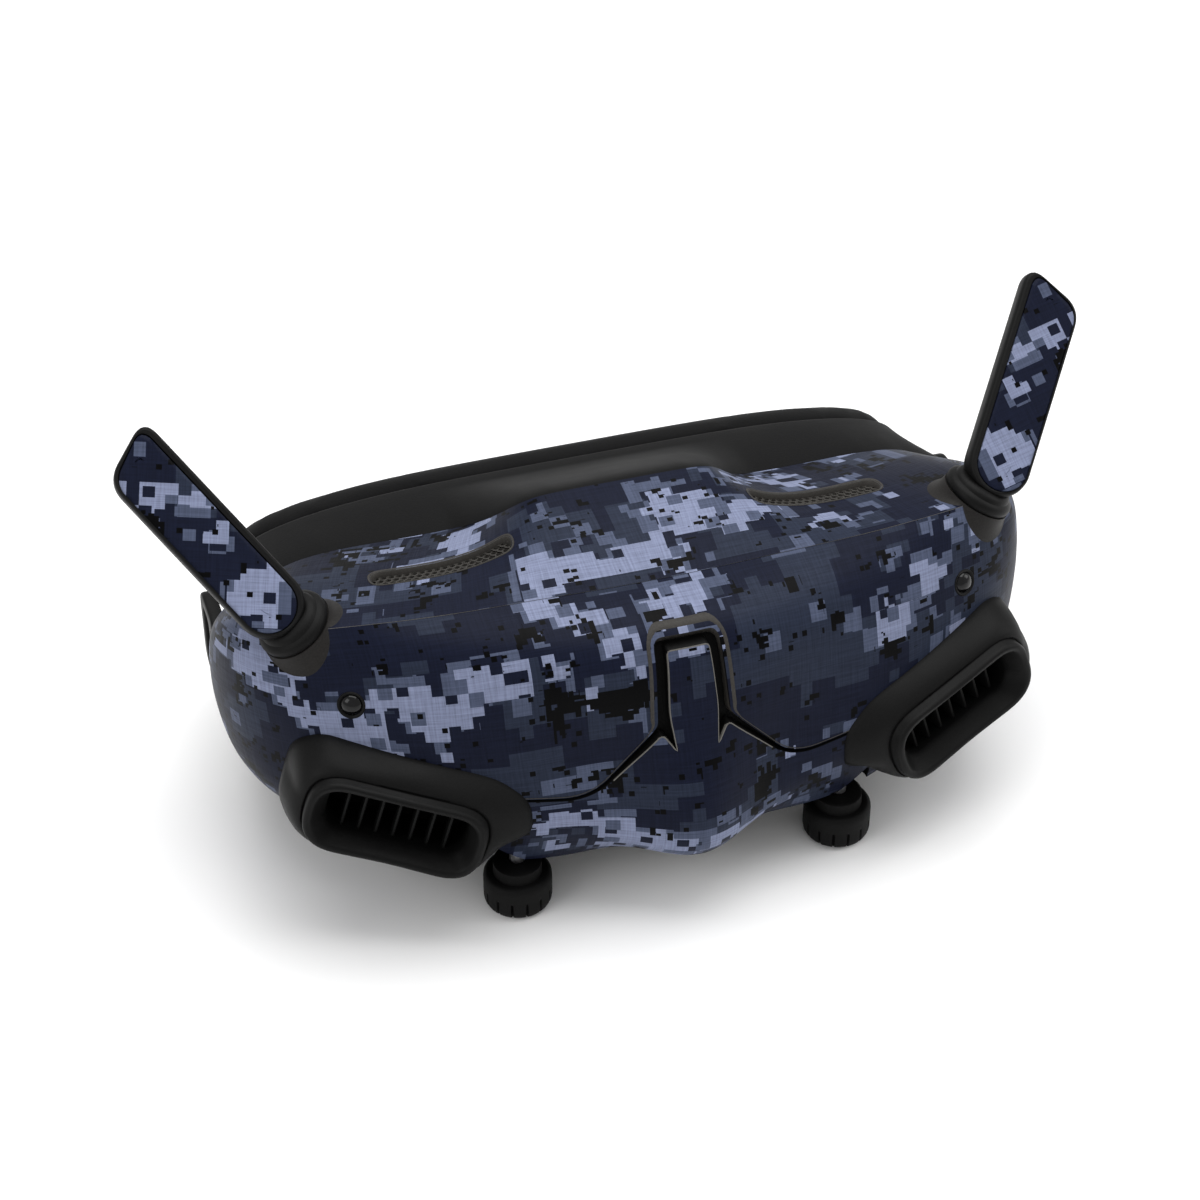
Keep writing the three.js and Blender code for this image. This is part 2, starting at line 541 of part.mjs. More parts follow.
const SHIELD = [
  [77.6, 4.3, -37.5, 42.2, 42.2, 4, 0, 3.2],
  [76.2, 5.3, -41.5, 47, 46.4, 10, 2, 3.4],
  [74.6, 5.9, -46.4, 52.5, 53, 17, 4.5, 3.8],
  [73.8, 5.2, -49, 57, 60, 22, 6, 4],
];
const thinner = ([half, top, bottom, ...rest], t) => [half - t, top - t, bottom + t, ...rest];
const shieldOuter = SHIELD.map((ring) => faceRing(ring));
const shieldInner = SHIELD.map((ring) => faceRing(thinner(ring, WALL))).reverse();
const eyeShield = ringLoft([...shieldOuter, ...shieldInner].reverse());
add('eye_shield', eyeShield, BLACK);

// Closes the step between the raised hump of the top cover and the shield.
const hump = TOP_REAR.slice(0, 5);
const browNet = [0, 0.5, 1].map((v) => wholeRow(hump.map((p) =>
  at(p.x, p.y + 0.7, p.z - 2.6).lerp(at(p.x, SHIELD[0][3] - GAP, SHIELD[0][1]), v))));
const browGrid = refine(browNet, 2, 14);
add('brow_bridge', wall(browGrid, offset(browGrid, 1.4)), BLACK);

const RIM = SHIELD[SHIELD.length - 1];
const foamRing = (shrink, back) => {
  const [half, top, bottom, topY, bottomY, ...shape] = thinner(RIM, shrink);
  return faceRing([half, top, bottom, topY + back, bottomY + back, ...shape]);
};
const FOAM_T = 11;
const foam = ringLoft([foamRing(1.4, 0.4), foamRing(0.6, 5), foamRing(2.4, 9.6), foamRing(5.6, 11.4),
  foamRing(9.4, 9.6), foamRing(FOAM_T, 5), foamRing(FOAM_T, 0.4)].reverse());
add('face_foam', foam, FOAM);
const flange = ringLoft([foamRing(WALL + 2, -2.4), foamRing(WALL + GAP, 0), foamRing(FOAM_T, 0),
  foamRing(FOAM_T, -2.4)].reverse());
add('foam_frame', flange, BLACK);

const plateShape = new THREE.Shape(faceRing(thinner(SHIELD[0], 5)).map((p) => new THREE.Vector2(p.x, p.z)));
const eyeHole = (grow) => prismY(roundRect(2 * (BARREL_R + EYE_TRAVEL + grow), 2 * (BARREL_R + grow),
  BARREL_R + grow, EYE_X, EYE_Z), BULKHEAD_Y - 9, BULKHEAD_Y + 12);
const SCREW_R = 1.3;
const screwAt = (y) => at(61, y, -6);
const eyePlate = prismY(plateShape, BULKHEAD_Y, BULKHEAD_Y + 2)
  .subtract(both(eyeHole(0.5))).subtract(both(rod(SCREW_R + GAP, 20, screwAt(30), Y, 12)));
add('eyepiece_plate', eyePlate, BLACK);
addPair('plate_screw', turned([[0, -6], [SCREW_R, -6], [SCREW_R, 0], [2.5, 0], [2.2, 1.2], [0, 1.2]],
  screwAt(BULKHEAD_Y + 2 + GAP), Y, 12), METAL);
add('proximity_window', box(-6, 6, BULKHEAD_Y + 2 + GAP, BULKHEAD_Y + 3.4, -14, -6), GLOSS);

// ---------- eyepieces: carriage, barrel, display, lens and the knob that moves them ----------
const BORE_R = 13.2;
const CELL_R = BORE_R - GAP;
const LENS_R = 11.6;
const BARREL_Y = [14, 52];
const eyeAt = (y) => at(EYE_X, y, EYE_Z);
const LENS_Y = 45;
const barrelLength = BARREL_Y[1] - BARREL_Y[0];
const PANEL_HALF = 9;
const panel = box(EYE_X - PANEL_HALF, EYE_X + PANEL_HALF, BARREL_Y[0] + 1, BARREL_Y[0] + 3,
  EYE_Z - PANEL_HALF, EYE_Z + PANEL_HALF);
addPair('eyepiece_barrel', tube(BARREL_R, BORE_R, barrelLength, eyeAt(BARREL_Y[0]), Y, 24), BLACK);
addPair('display_panel', panel, GLOSS);
addPair('lens_cell', tube(CELL_R, LENS_R + GAP, 9, eyeAt(LENS_Y - 4.5), Y, 24), BLACK);
addPair('eyepiece_lens', turned([[0, -3.6], [6, -3], [LENS_R, -1], [LENS_R, 1], [6, 3], [0, 3.6]],
  eyeAt(LENS_Y), Y, 24), GLASS);

const RAIL_Z = -33;
const RAIL_R = 1;
const RAIL_YS = [22, 38];
const railRod = (r, y) => rod(r, 120, at(-60, y, RAIL_Z), X, 10);
const carriage = box(EYE_X - 8, EYE_X + 8, 11, 41, RAIL_Z - 1.9, BLOCK_TOP)
  .add(armBox(0, 0))
  .subtract(railRod(RAIL_R + GAP, RAIL_YS[0])).subtract(railRod(RAIL_R + GAP, RAIL_YS[1]));
addPair('eyepiece_carriage', carriage, BLACK);
add('slide_rail_front', railRod(RAIL_R, RAIL_YS[0]), METAL);
add('slide_rail_rear', railRod(RAIL_R, RAIL_YS[1]), METAL);

const KNOB_NECK_R = 4.8;
const KNOB_NECK = 2.6;
const KNOB_TOP = FLOOR_Z + KNOB_H + KNOB_NECK;
const NOTCHES = 9;
let knob = turned([[0, 0], [KNOB_R - 1, 0], [KNOB_R, 1], [KNOB_R, KNOB_H - 0.8], [KNOB_R - 0.8, KNOB_H],
  [KNOB_NECK_R, KNOB_H], [KNOB_NECK_R, KNOB_H + KNOB_NECK], [0, KNOB_H + KNOB_NECK]],
at(EYE_X, KNOB_Y, FLOOR_Z), Z, 24);
const notch = new THREE.BoxGeometry(1.1, 1.2, 3.4).translate(0, KNOB_R, 1.9);
for (let i = 0; i < NOTCHES; i += 1) {
  const turn = notch.clone().rotateZ(((i + 0.5) / NOTCHES) * 2 * Math.PI);
  knob = knob.subtract(toSolid(turn.translate(EYE_X, KNOB_Y, FLOOR_Z)));
}
addPair('focus_knob', knob, BLACK);
const shaftLength = BLOCK_TOP - 0.9 - KNOB_TOP - GAP;
addPair('knob_shaft', rod(SHAFT_R, shaftLength, at(EYE_X, KNOB_Y, KNOB_TOP + GAP), Z, 12), METAL);

// ---------- electronics and cooling ----------
const BOARD_Z = 0.4;
const BOARD_T = 1.6;
add('main_board', box(-54, 54, 7, 36, BOARD_Z, BOARD_Z + BOARD_T), BOARD);
const FINS = 8;
const SINK = { half: 22, y0: 9, y1: 26, base: BOARD_Z + BOARD_T + GAP, top: 9.6 };
let heatSink = box(-SINK.half, SINK.half, SINK.y0, SINK.y1, SINK.base, SINK.base + 1.4);
for (let i = 0; i < FINS; i += 1) {
  const x = -SINK.half + 0.5 + (i / (FINS - 1)) * (2 * SINK.half - 1);
  heatSink = heatSink.add(box(x - 0.5, x + 0.5, SINK.y0, SINK.y1, SINK.base, SINK.top));
}
add('heat_sink', heatSink, METAL);

const FAN = { x: 64.8, z: -17, y0: 15, y1: 23, half: 10.6, bore: 9.8, tip: 9.4, hub: 3.6 };
const fanAt = (y) => at(FAN.x, y, FAN.z);
const fanBody = box(FAN.x - FAN.half, FAN.x + FAN.half, FAN.y0, FAN.y1,
  FAN.z - FAN.half, FAN.z + FAN.half);
addPair('fan_frame', fanBody.subtract(rod(FAN.bore, 20, fanAt(FAN.y0 - 5), Y, 24)), BLACK);
const BLADES = 7;
let rotor = rod(FAN.hub, 6, fanAt(FAN.y0 + 1), Y, 14);
for (let i = 0; i < BLADES; i += 1) {
  const vane = new THREE.BoxGeometry(0.9, 4.6, FAN.tip - 1).rotateZ(0.6).translate(0, 0, (FAN.tip + 1) / 2);
  vane.rotateY((i / BLADES) * 2 * Math.PI).translate(FAN.x, FAN.y0 + 4, FAN.z);
  rotor = rotor.add(toSolid(vane));
}
addPair('fan_rotor', rotor, BLACK);

// ---------- side fittings ----------
const lugPlate = box(78.2, 81.2, 42.3, 56, -28, -9);
const lugSlot = box(70, 90, 47, 53.4, -25, -12);
addPair('headband_lug', lugPlate.subtract(lugSlot), BLACK);
const buttonSide = [[0, 0], [BUTTON_R, 0], [BUTTON_R, 3], [BUTTON_R + 1, 3], [BUTTON_R + 1, 4], [0, 4]];
add('link_button', turned(buttonSide, buttonAt(FLOOR_PLATE_Z - FLOOR_T - 0.6), Z, 16), BLACK);

export default goggles;
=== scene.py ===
"""Visual model of a pair of video goggles for drone flying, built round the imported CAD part."""
import json
import math

import bmesh
import bpy
import numpy as np
from mathutils import Matrix, Vector
from mathutils.bvhtree import BVHTree
from mathutils.interpolate import poly_3d_calc


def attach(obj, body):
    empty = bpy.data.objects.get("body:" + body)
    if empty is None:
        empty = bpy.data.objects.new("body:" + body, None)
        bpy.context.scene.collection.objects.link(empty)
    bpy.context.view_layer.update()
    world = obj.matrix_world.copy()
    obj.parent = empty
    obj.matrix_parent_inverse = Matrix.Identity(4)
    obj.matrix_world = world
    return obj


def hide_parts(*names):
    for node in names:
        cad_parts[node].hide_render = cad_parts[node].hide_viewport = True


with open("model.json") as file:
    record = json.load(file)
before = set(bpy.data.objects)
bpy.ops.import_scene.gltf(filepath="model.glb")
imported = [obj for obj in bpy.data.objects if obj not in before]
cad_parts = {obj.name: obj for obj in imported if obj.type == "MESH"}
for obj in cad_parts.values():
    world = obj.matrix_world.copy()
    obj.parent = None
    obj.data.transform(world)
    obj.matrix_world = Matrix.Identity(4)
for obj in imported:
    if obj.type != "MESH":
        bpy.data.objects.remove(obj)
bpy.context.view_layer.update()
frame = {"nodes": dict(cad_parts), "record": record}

# Everything below is designed in millimetres, with the origin between the two front sensors.
MID_Y = 24.31
FLOOR_Z = -49.0
WALL = 2.0
EYE_X, EYE_Z = 33.6, -16.0
KNOB_Y, KNOB_R = -10.6, 6.8
BARREL_R = 14.5
BULKHEAD_Y = 44.0
BARREL_Y = (14.0, 52.0)
LENS_Y = 45.0


def to_row(p):
    p = np.asarray(p, float)
    return (p - (0.0, MID_Y, FLOOR_Z)) * 0.001


def unit(v):
    v = np.asarray(v, float)
    return v / np.linalg.norm(v)


# ---------- camera, lights and floor ----------
def make_stage():
    scene = bpy.context.scene
    scene.view_settings.view_transform = "Standard"
    camera = bpy.data.objects.new("camera", bpy.data.cameras.new("camera"))
    scene.collection.objects.link(camera)
    azimuth, elevation = math.radians(-17.36), math.radians(38.68)
    right = Vector((math.cos(azimuth), math.sin(azimuth), 0))
    back = Vector((math.sin(azimuth) * math.cos(elevation), -math.cos(azimuth) * math.cos(elevation),
                   math.sin(elevation)))
    up = back.cross(right)
    pose = Matrix((right, up, back)).transposed().to_4x4()
    pose.translation = to_row((-139.6, -404.0, 352.5))
    camera.matrix_world = pose
    camera.data.lens = 86.1
    camera.data.sensor_width = 36
    camera.data.clip_start = 0.01
    scene.camera = camera

    floor = mesh_object("floor", [(-3, -3, 0), (3, -3, 0), (3, 3, 0), (-3, 3, 0)], [(0, 1, 2, 3)],
                        paper_material(), scale=False)

    world = bpy.data.worlds.new("studio")
    scene.world = world
    world.use_nodes = True
    background = world.node_tree.nodes["Background"]
    background.inputs["Color"].default_value = (1, 1, 1, 1)
    background.inputs["Strength"].default_value = WORLD_LIGHT
    for name, place, aim, width, height, watts in LIGHTS:
        lamp = bpy.data.objects.new(name, bpy.data.lights.new(name, "AREA"))
        lamp.data.shape = "RECTANGLE"
        lamp.data.size, lamp.data.size_y = width, height
        lamp.data.energy = watts
        scene.collection.objects.link(lamp)
        lamp.location = place
        lamp.rotation_euler = (Vector(aim) - Vector(place)).to_track_quat("-Z", "Y").to_euler()


WORLD_LIGHT = 0.62
LIGHTS = (
    ("softbox_top", (0.15, 0.25, 1.1), (0, 0, 0.03), 1.3, 1.0, 13.0),
    ("softbox_left", (-0.95, -0.35, 0.65), (0, 0, 0.03), 0.6, 0.6, 3.0),
    ("softbox_right", (0.95, -0.15, 0.55), (0, 0, 0.03), 0.5, 0.6, 2.5),
)


# ---------- meshes ----------
def mesh_object(name, verts, faces, material, scale=True, sharp=None, uvs=None):
    mesh = bpy.data.meshes.new(name)
    points = to_row(verts) if scale else np.asarray(verts, float)
    mesh.from_pydata([tuple(p) for p in points], [], [tuple(int(k) for k in f) for f in faces])
    if uvs is not None:
        layer = mesh.uv_layers.new(name="UVMap")
        index = np.empty(len(mesh.loops), dtype=np.int32)
        mesh.loops.foreach_get("vertex_index", index)
        layer.data.foreach_set("uv", (np.asarray(uvs)[index] * 0.001).astype(np.float32).ravel())
    mesh.validate()
    mesh.polygons.foreach_set("use_smooth", [True] * len(mesh.polygons))
    if sharp is not None:
        mesh.set_sharp_from_angle(angle=math.radians(sharp))
    obj = bpy.data.objects.new(name, mesh)
    bpy.context.scene.collection.objects.link(obj)
    if material:
        for m in material if isinstance(material, (list, tuple)) else [material]:
            mesh.materials.append(m)
    return obj


def grid_faces(rows, cols, closed=False, flip=False, start=0):
    faces = []
    for j in range(rows - 1):
        for i in range(cols if closed else cols - 1):
            k = (i + 1) % cols
            quad = (start + j * cols + i, start + (j + 1) * cols + i, start + (j + 1) * cols + k,
                    start + j * cols + k)
            faces.append(quad[::-1] if flip else quad)
    return faces


def loft(name, rings, material, caps=(True, True), flip=False, sharp=40):
    """Closed rings of equally many points, one after another."""
    n = len(rings[0])
    verts = np.concatenate([np.asarray(r, float) for r in rings])
    faces = grid_faces(len(rings), n, closed=True, flip=flip)
    for end, wanted in zip((0, len(rings) - 1), caps):
        if not wanted:
            continue
        centre = len(verts)
        verts = np.vstack([verts, verts[end * n:(end + 1) * n].mean(axis=0)])
        for i in range(n):
            a, b = end * n + i, end * n + (i + 1) % n
            tri = (a, b, centre) if (end == 0) != flip else (b, a, centre)
            faces.append(tri)
    return mesh_object(name, verts, faces, material, sharp=sharp)


def basis(origin, along, out):
    out = unit(out)
    along = unit(np.asarray(along, float) - out * np.dot(along, out))
    return np.asarray(origin, float), along, np.cross(out, along), out


def in_basis(frame_of, x, y, z):
    o, a, u, n = frame_of
    return o + np.outer(x, a) + np.outer(y, u) + np.outer(z, n)


def lathe(name, profile, origin, axis, material, segments=64, wobble=None, sharp=40):
    """A turned body through [radius, height] points; wobble(angle, radius, height) gives the radius."""
    side = (1, 0, 0) if abs(unit(axis)[0]) < 0.9 else (0, 1, 0)
    frame_of = basis(origin, side, axis)
    angles = np.arange(segments) * 2 * math.pi / segments
    rings = []
    for r, h in profile:
        radii = np.full(segments, float(r))
        if wobble is not None:
            radii = np.array([wobble(a, r, h) for a in angles])
        rings.append(in_basis(frame_of, radii * np.cos(angles), radii * np.sin(angles),
                              np.full(segments, float(h))))
    return loft(name, rings, material, flip=True, sharp=sharp)


def rounded(points, radius, steps=6):
    """A closed outline with its corners rounded; radius is one number or one per corner."""
    points = [np.asarray(p, float) for p in points]
    out = []
    for i, p in enumerate(points):
        r = radius[i] if isinstance(radius, (list, tuple)) else radius
        a, b = points[i - 1], points[(i + 1) % len(points)]
        la, lb = np.linalg.norm(a - p), np.linalg.norm(b - p)
        if r <= 0:
            out.append(p)
            continue
        cut = min(r, 0.45 * la, 0.45 * lb)
        p0, p1 = p + (a - p) * cut / la, p + (b - p) * cut / lb
        for t in np.linspace(0, 1, steps):
            out.append((1 - t) ** 2 * p0 + 2 * t * (1 - t) * p + t ** 2 * p1)
    return np.array(out)


def dense(points, step, closed=False):
    points = np.asarray(points, float)
    if closed:
        points = np.vstack([points, points[:1]])
    gaps = np.linalg.norm(np.diff(points, axis=0), axis=1)
    s = np.concatenate([[0], np.cumsum(gaps)])
    n = max(2, int(round(s[-1] / step)) + 1)
    t = np.linspace(0, s[-1], n)
    if closed:
        t = t[:-1]
    return np.stack([np.interp(t, s, points[:, k]) for k in range(points.shape[1])], axis=1)


def prism_y(name, outline, y0, y1):
    """A cutter: an outline in X and Z, drawn along Y."""
    n = len(outline)
    verts = [(x, y0, z) for x, z in outline] + [(x, y1, z) for x, z in outline]
    faces = [tuple(range(n)), tuple(range(2 * n - 1, n - 1, -1))]
    faces += [(i, n + i, n + (i + 1) % n, (i + 1) % n) for i in range(n)]
    obj = mesh_object(name, verts, faces, None)
    fix_outward(obj)
    return obj


def prism_in(name, frame_of, outline, z0, z1):
    n = len(outline)
    outline = np.asarray(outline)
    verts = np.vstack([in_basis(frame_of, outline[:, 0], outline[:, 1], np.full(n, z)) for z in (z0, z1)])
    faces = [tuple(range(n)), tuple(range(2 * n - 1, n - 1, -1))]
    faces += [(i, n + i, n + (i + 1) % n, (i + 1) % n) for i in range(n)]
    obj = mesh_object(name, verts, faces, None)
    fix_outward(obj)
    return obj


def fix_outward(obj):
    bm = bmesh.new()
    bm.from_mesh(obj.data)
    bmesh.ops.recalc_face_normals(bm, faces=bm.faces)
    bm.to_mesh(obj.data)
    bm.free()


def evaluated(obj):
    graph = bpy.context.evaluated_depsgraph_get()
    mesh = bpy.data.meshes.new_from_object(obj.evaluated_get(graph))
    old = obj.data
    obj.modifiers.clear()
    obj.data = mesh
    bpy.data.meshes.remove(old)


def boolean(obj, cutter, operation="DIFFERENCE", keep=False):
    cut = obj.modifiers.new("cut", "BOOLEAN")
    cut.object = cutter
    cut.operation = operation
    cut.solver = "EXACT"
    bpy.context.view_layer.update()
    evaluated(obj)
    if not keep:
        remove(cutter)


def remove(obj):
    data = obj.data
    bpy.data.objects.remove(obj)
    bpy.data.meshes.remove(data)


def mirror_points(points):
    return np.asarray(points, float) * (-1, 1, 1)


def mirrored_copy(obj, name):
    """The piece on the other side: the same mesh, mirrored in X."""
    mesh = obj.data.copy()
    mesh.transform(Matrix.Scale(-1, 4, (1, 0, 0)))
    mesh.flip_normals()
    copy = bpy.data.objects.new(name, mesh)
    bpy.context.scene.collection.objects.link(copy)
    return copy


def join(name, objs):
    bm = bmesh.new()
    mats = []
    for obj in objs:
        remap = []
        for m in obj.data.materials:
            if m not in mats:
                mats.append(m)
            remap.append(mats.index(m))
        before = len(bm.faces)
        bm.from_mesh(obj.data)
        bm.faces.ensure_lookup_table()
        for f in bm.faces[before:]:
            f.material_index = remap[f.material_index] if remap else 0
    mesh = bpy.data.meshes.new(name)
    bm.to_mesh(mesh)
    bm.free()
    for m in mats:
        mesh.materials.append(m)
    for obj in objs:
        remove(obj)
    out = bpy.data.objects.new(name, mesh)
    bpy.context.scene.collection.objects.link(out)
    return out


# ---------- smooth surfaces through a net of points ----------
def spline_matrix(knots, samples):
    """Weights of a natural cubic spline through values at the knots."""
    n = len(knots)
    h = np.diff(knots)
    left, right = np.zeros((n, n)), np.zeros((n, n))
    left[0, 0] = left[-1, -1] = 1
    for i in range(1, n - 1):
        left[i, i - 1], left[i, i], left[i, i + 1] = h[i - 1], 2 * (h[i - 1] + h[i]), h[i]
        right[i, i - 1] = 6 / h[i - 1]
        right[i, i] = -6 / h[i - 1] - 6 / h[i]
        right[i, i + 1] = 6 / h[i]
    second = np.linalg.solve(left, right)
    weights = np.zeros((len(samples), n))
    for row, t in enumerate(samples):
        k = int(min(max(np.searchsorted(knots, t) - 1, 0), n - 2))
        a, b = (knots[k + 1] - t) / h[k], (t - knots[k]) / h[k]
        weights[row, k] += a
        weights[row, k + 1] += b
        weights[row] += ((a ** 3 - a) * second[k] + (b ** 3 - b) * second[k + 1]) * h[k] ** 2 / 6
    return weights


def smooth_net(net, rows, cols):
    net = np.asarray(net, float)
    across = np.concatenate([[0], np.cumsum(np.linalg.norm(np.diff(net, axis=1), axis=2).mean(axis=0))])
    down = np.concatenate([[0], np.cumsum(np.linalg.norm(np.diff(net, axis=0), axis=2).mean(axis=1))])
    wu = spline_matrix(across, np.linspace(0, across[-1], cols))
    wv = spline_matrix(down, np.linspace(0, down[-1], rows))
    return np.einsum("rj,jkc,ik->ric", wv, net, wu)


def net_normals(grid):
    du = np.gradient(grid, axis=1)
    dv = np.gradient(grid, axis=0)
    normals = np.cross(dv, du)
    return normals / np.linalg.norm(normals, axis=2, keepdims=True)


def arc_lengths(grid):
    """Distance along each row from its middle, and down each column from its top."""
    step_u = np.linalg.norm(np.diff(grid, axis=1), axis=2)
    u = np.concatenate([np.zeros((grid.shape[0], 1)), np.cumsum(step_u, axis=1)], axis=1)
    u -= u[:, [grid.shape[1] // 2]]
    u = 0.5 * u + 0.5 * u.mean(axis=0, keepdims=True)
    step_v = np.linalg.norm(np.diff(grid, axis=0), axis=2)
    v = np.concatenate([np.zeros((1, grid.shape[1])), np.cumsum(step_v, axis=0)], axis=0)
    v = 0.5 * v + 0.5 * v.mean(axis=1, keepdims=True)
    return np.stack([u, v], axis=2)


STATIONS = np.array([
    [[0, 3.3, 13.2], [0, -10.2, 11.2], [0, -16.5, 0], [0, -21.5, -12], [0, -26, -24], [0, -25.5, -32],
     [0, -20, -37.4]],
    [[12, 3.5, 13.2], [12, -9.6, 11], [12, -15.6, 0], [12, -18, -12], [12, -21, -24], [12, -20.8, -31],
     [12, -15, -37.2]],
    [[24, 4, 13.2], [24, -7.6, 10.5], [24, -13, 0], [24, -15.2, -12], [24, -17.4, -22], [24, -17.6, -28],
     [24, -14, -36.8]],
    [[37, 4.6, 13.1], [37, -4.2, 9.8], [37, -9.6, 0], [37, -12.8, -11], [37, -14.6, -20], [37, -14.6, -27],
     [37, -11.4, -36.8]],
    [[50, 5.6, 13.1], [50, -0.4, 9.2], [50, -5.2, 0], [50, -8.2, -9], [50, -9, -18], [50, -8.6, -27],
     [50, -5, -36.8]],
    [[62.3, 7.2, 13.1], [62.3, 3.6, 8.6], [62.3, 0, 0], [62.3, -2.4, -8], [62.3, -3, -18], [62.3, -2, -27],
     [62, 4, -36.8]],
    [[70, 11, 11.2], [71, 7.6, 7], [71.8, 5, 0], [72, 3.6, -8], [72, 3.6, -18], [71.4, 5, -27],
     [68.5, 12, -36.8]],
    [[75.4, 16, 9.2], [77.4, 13.4, 6], [78.6, 12, 0], [79, 11.4, -8], [78.8, 11.6, -18], [77.6, 13, -27],
     [73.5, 18, -36.8]],
    [[78.6, 23.6, 6.4], [81, 22, 3.6], [82.4, 21.6, -2.4], [82.9, 21.4, -10],
     [82.5, 21.8, -19], [80.8, 23, -28], [76.5, 26, -36.8]],
    [[79.4, 32, 1.8], [81.6, 32, -0.4], [83.2, 32, -5], [83.7, 32, -12],
     [83.2, 32, -20], [81.2, 32, -29], [77, 34, -36.8]],
    [[77.9, 41.6, -4.2], [79.7, 41.6, -6.2], [81, 41.6, -9.6], [81.6, 41.6, -14.5],
     [81.1, 41.6, -21], [79.2, 41.6, -29.5], [75.5, 41.6, -36.8]],
], float)
TOP_REAR = np.array([
    [0, 29, 18.4], [14, 29, 18.3], [19.5, 30.4, 16.4], [25.5, 35.6, 9.8], [32, 39.3, 6.1], [45, 40.2, 5.4],
    [57, 40.8, 4.9], [65, 41.1, 3.4], [70, 41.3, 0.8], [73, 41.4, -1.2], [74.4, 41.5, -2.1]], float)
CROWN = 0.9


def whole(half):
    half = np.asarray(half, float)
    return np.vstack([mirror_points(half[1:])[::-1], half])


def front_net():
    return np.array([whole(STATIONS[:, j]) for j in range(STATIONS.shape[1])])


def top_net():
    seam = STATIONS[:, 0]
    rows = []
    for v in (1.0, 0.67, 0.34, 0.0):
        row = seam + (TOP_REAR - seam) * v
        row[:, 2] += CROWN * 4 * v * (1 - v)
        rows.append(whole(row))
    return np.array(rows)


FRONT = smooth_net(front_net(), 72, 241)
FLOOR_ROW = int(np.argmin(FRONT[:, :, 2].mean(axis=1)))
FRONT_N = net_normals(FRONT)
TOP = smooth_net(top_net(), 40, 241)
TOP_N = net_normals(TOP)


def shell(name, grid, normals, depth, material, uvs, lift=0.0):
    """A closed wall of even thickness under a surface."""
    rows, cols = grid.shape[:2]
    outer = grid + normals * lift
    inner = grid - normals * depth
    verts = np.vstack([outer.reshape(-1, 3), inner.reshape(-1, 3)])
    faces = grid_faces(rows, cols)
    faces += grid_faces(rows, cols, flip=True, start=rows * cols)
    low = rows * cols
    for j in range(rows - 1):
        a, b = j * cols, (j + 1) * cols
        faces.append((a, low + a, low + b, b))
        a, b = a + cols - 1, b + cols - 1
        faces.append((a, b, low + b, low + a))
    for i in range(cols - 1):
        faces.append((i, i + 1, low + i + 1, low + i))
        k = (rows - 1) * cols + i
        faces.append((k, low + k, low + k + 1, k + 1))
    return mesh_object(name, verts, faces, material, uvs=np.vstack([uvs.reshape(-1, 2)] * 2))


def bvh_of(grids):
    verts, faces = [], []
    for grid in grids:
        start = len(verts)
        verts += [tuple(p) for p in grid.reshape(-1, 3)]
        faces += grid_faces(grid.shape[0], grid.shape[1], start=start)
    return BVHTree.FromPolygons(verts, faces), np.array(verts), faces


FRONT_TREE, FRONT_VERTS, FRONT_FACES = bvh_of([FRONT])
BOTH_TREE, BOTH_VERTS, BOTH_FACES = bvh_of([FRONT, TOP])
FRONT_FLAT_N = FRONT_N.reshape(-1, 3)
BOTH_FLAT_N = np.vstack([FRONT_FLAT_N, TOP_N.reshape(-1, 3)])


def smooth_normal(tree_verts, tree_faces, flat, place, index):
    face = tree_faces[index]
    weights = poly_3d_calc([Vector(tree_verts[k]) for k in face], Vector(place))
    return unit(sum(w * flat[k] for w, k in zip(weights, face)))


def on_front(x, z, height=0.0):
    """The point on the front surface at x and z, lifted along its normal."""
    hit, _, index, _ = FRONT_TREE.ray_cast(Vector((x, -80, z)), Vector((0, 1, 0)))
    normal = smooth_normal(FRONT_VERTS, FRONT_FACES, FRONT_FLAT_N, hit, index)
    return np.array(hit) + normal * height


def cast(origin, direction, height=0.0):
    hit, _, index, _ = BOTH_TREE.ray_cast(Vector(origin), Vector(direction))
    if hit is None:
        return None
    normal = smooth_normal(BOTH_VERTS, BOTH_FACES, BOTH_FLAT_N, hit, index)
    return np.array(hit) + normal * height


def dress_shell(obj, tree_data, edge_material):
    """Cut walls take the bare plastic, and the skin keeps the surface's own normals."""
    tree, verts, faces, flat = tree_data
    mesh = obj.data
    if len(mesh.materials) < 2:
        mesh.materials.append(edge_material)
    offset = np.array((0.0, MID_Y, FLOOR_Z))
    normals = np.zeros((len(mesh.loops), 3), np.float32)
    points = [np.array(v.co) * 1000 + offset for v in mesh.vertices]
    near = [tree.find_nearest(Vector(p)) for p in points]
    on_skin = np.array([hit[3] < 0.02 for hit in near])
    smooth = [smooth_normal(verts, faces, flat, hit[0], hit[2]) if ok else None for hit,
              ok in zip(near, on_skin)]
    for poly in mesh.polygons:
        ids = list(poly.vertices)
        skin = all(on_skin[k] for k in ids)
        if skin:
            mean = sum(smooth[k] for k in ids)
            skin = float(np.dot(mean, np.array(poly.normal))) > 0.6 * np.linalg.norm(mean)
        poly.material_index = 0 if skin else 1
        if not skin:
            poly.use_smooth = False
        for loop in poly.loop_indices:
            k = mesh.loops[loop].vertex_index
            normals[loop] = smooth[k] if skin else poly.normal
    mesh.normals_split_custom_set([tuple(n) for n in normals])


# ---------- materials ----------
def new_material(name):
    material = bpy.data.materials.new(name)
    material.use_nodes = True
    tree = material.node_tree
    return material, tree, tree.nodes["Principled BSDF"]


def node(tree, kind, inputs=None, **props):
    item = tree.nodes.new("ShaderNode" + kind)
    for key, value in props.items():
        setattr(item, key, value)
    for key, value in (inputs or {}).items():
        socket = item.inputs[key]
        if isinstance(value, bpy.types.NodeSocket):
            tree.links.new(value, socket)
        else:
            socket.default_value = value
    return item


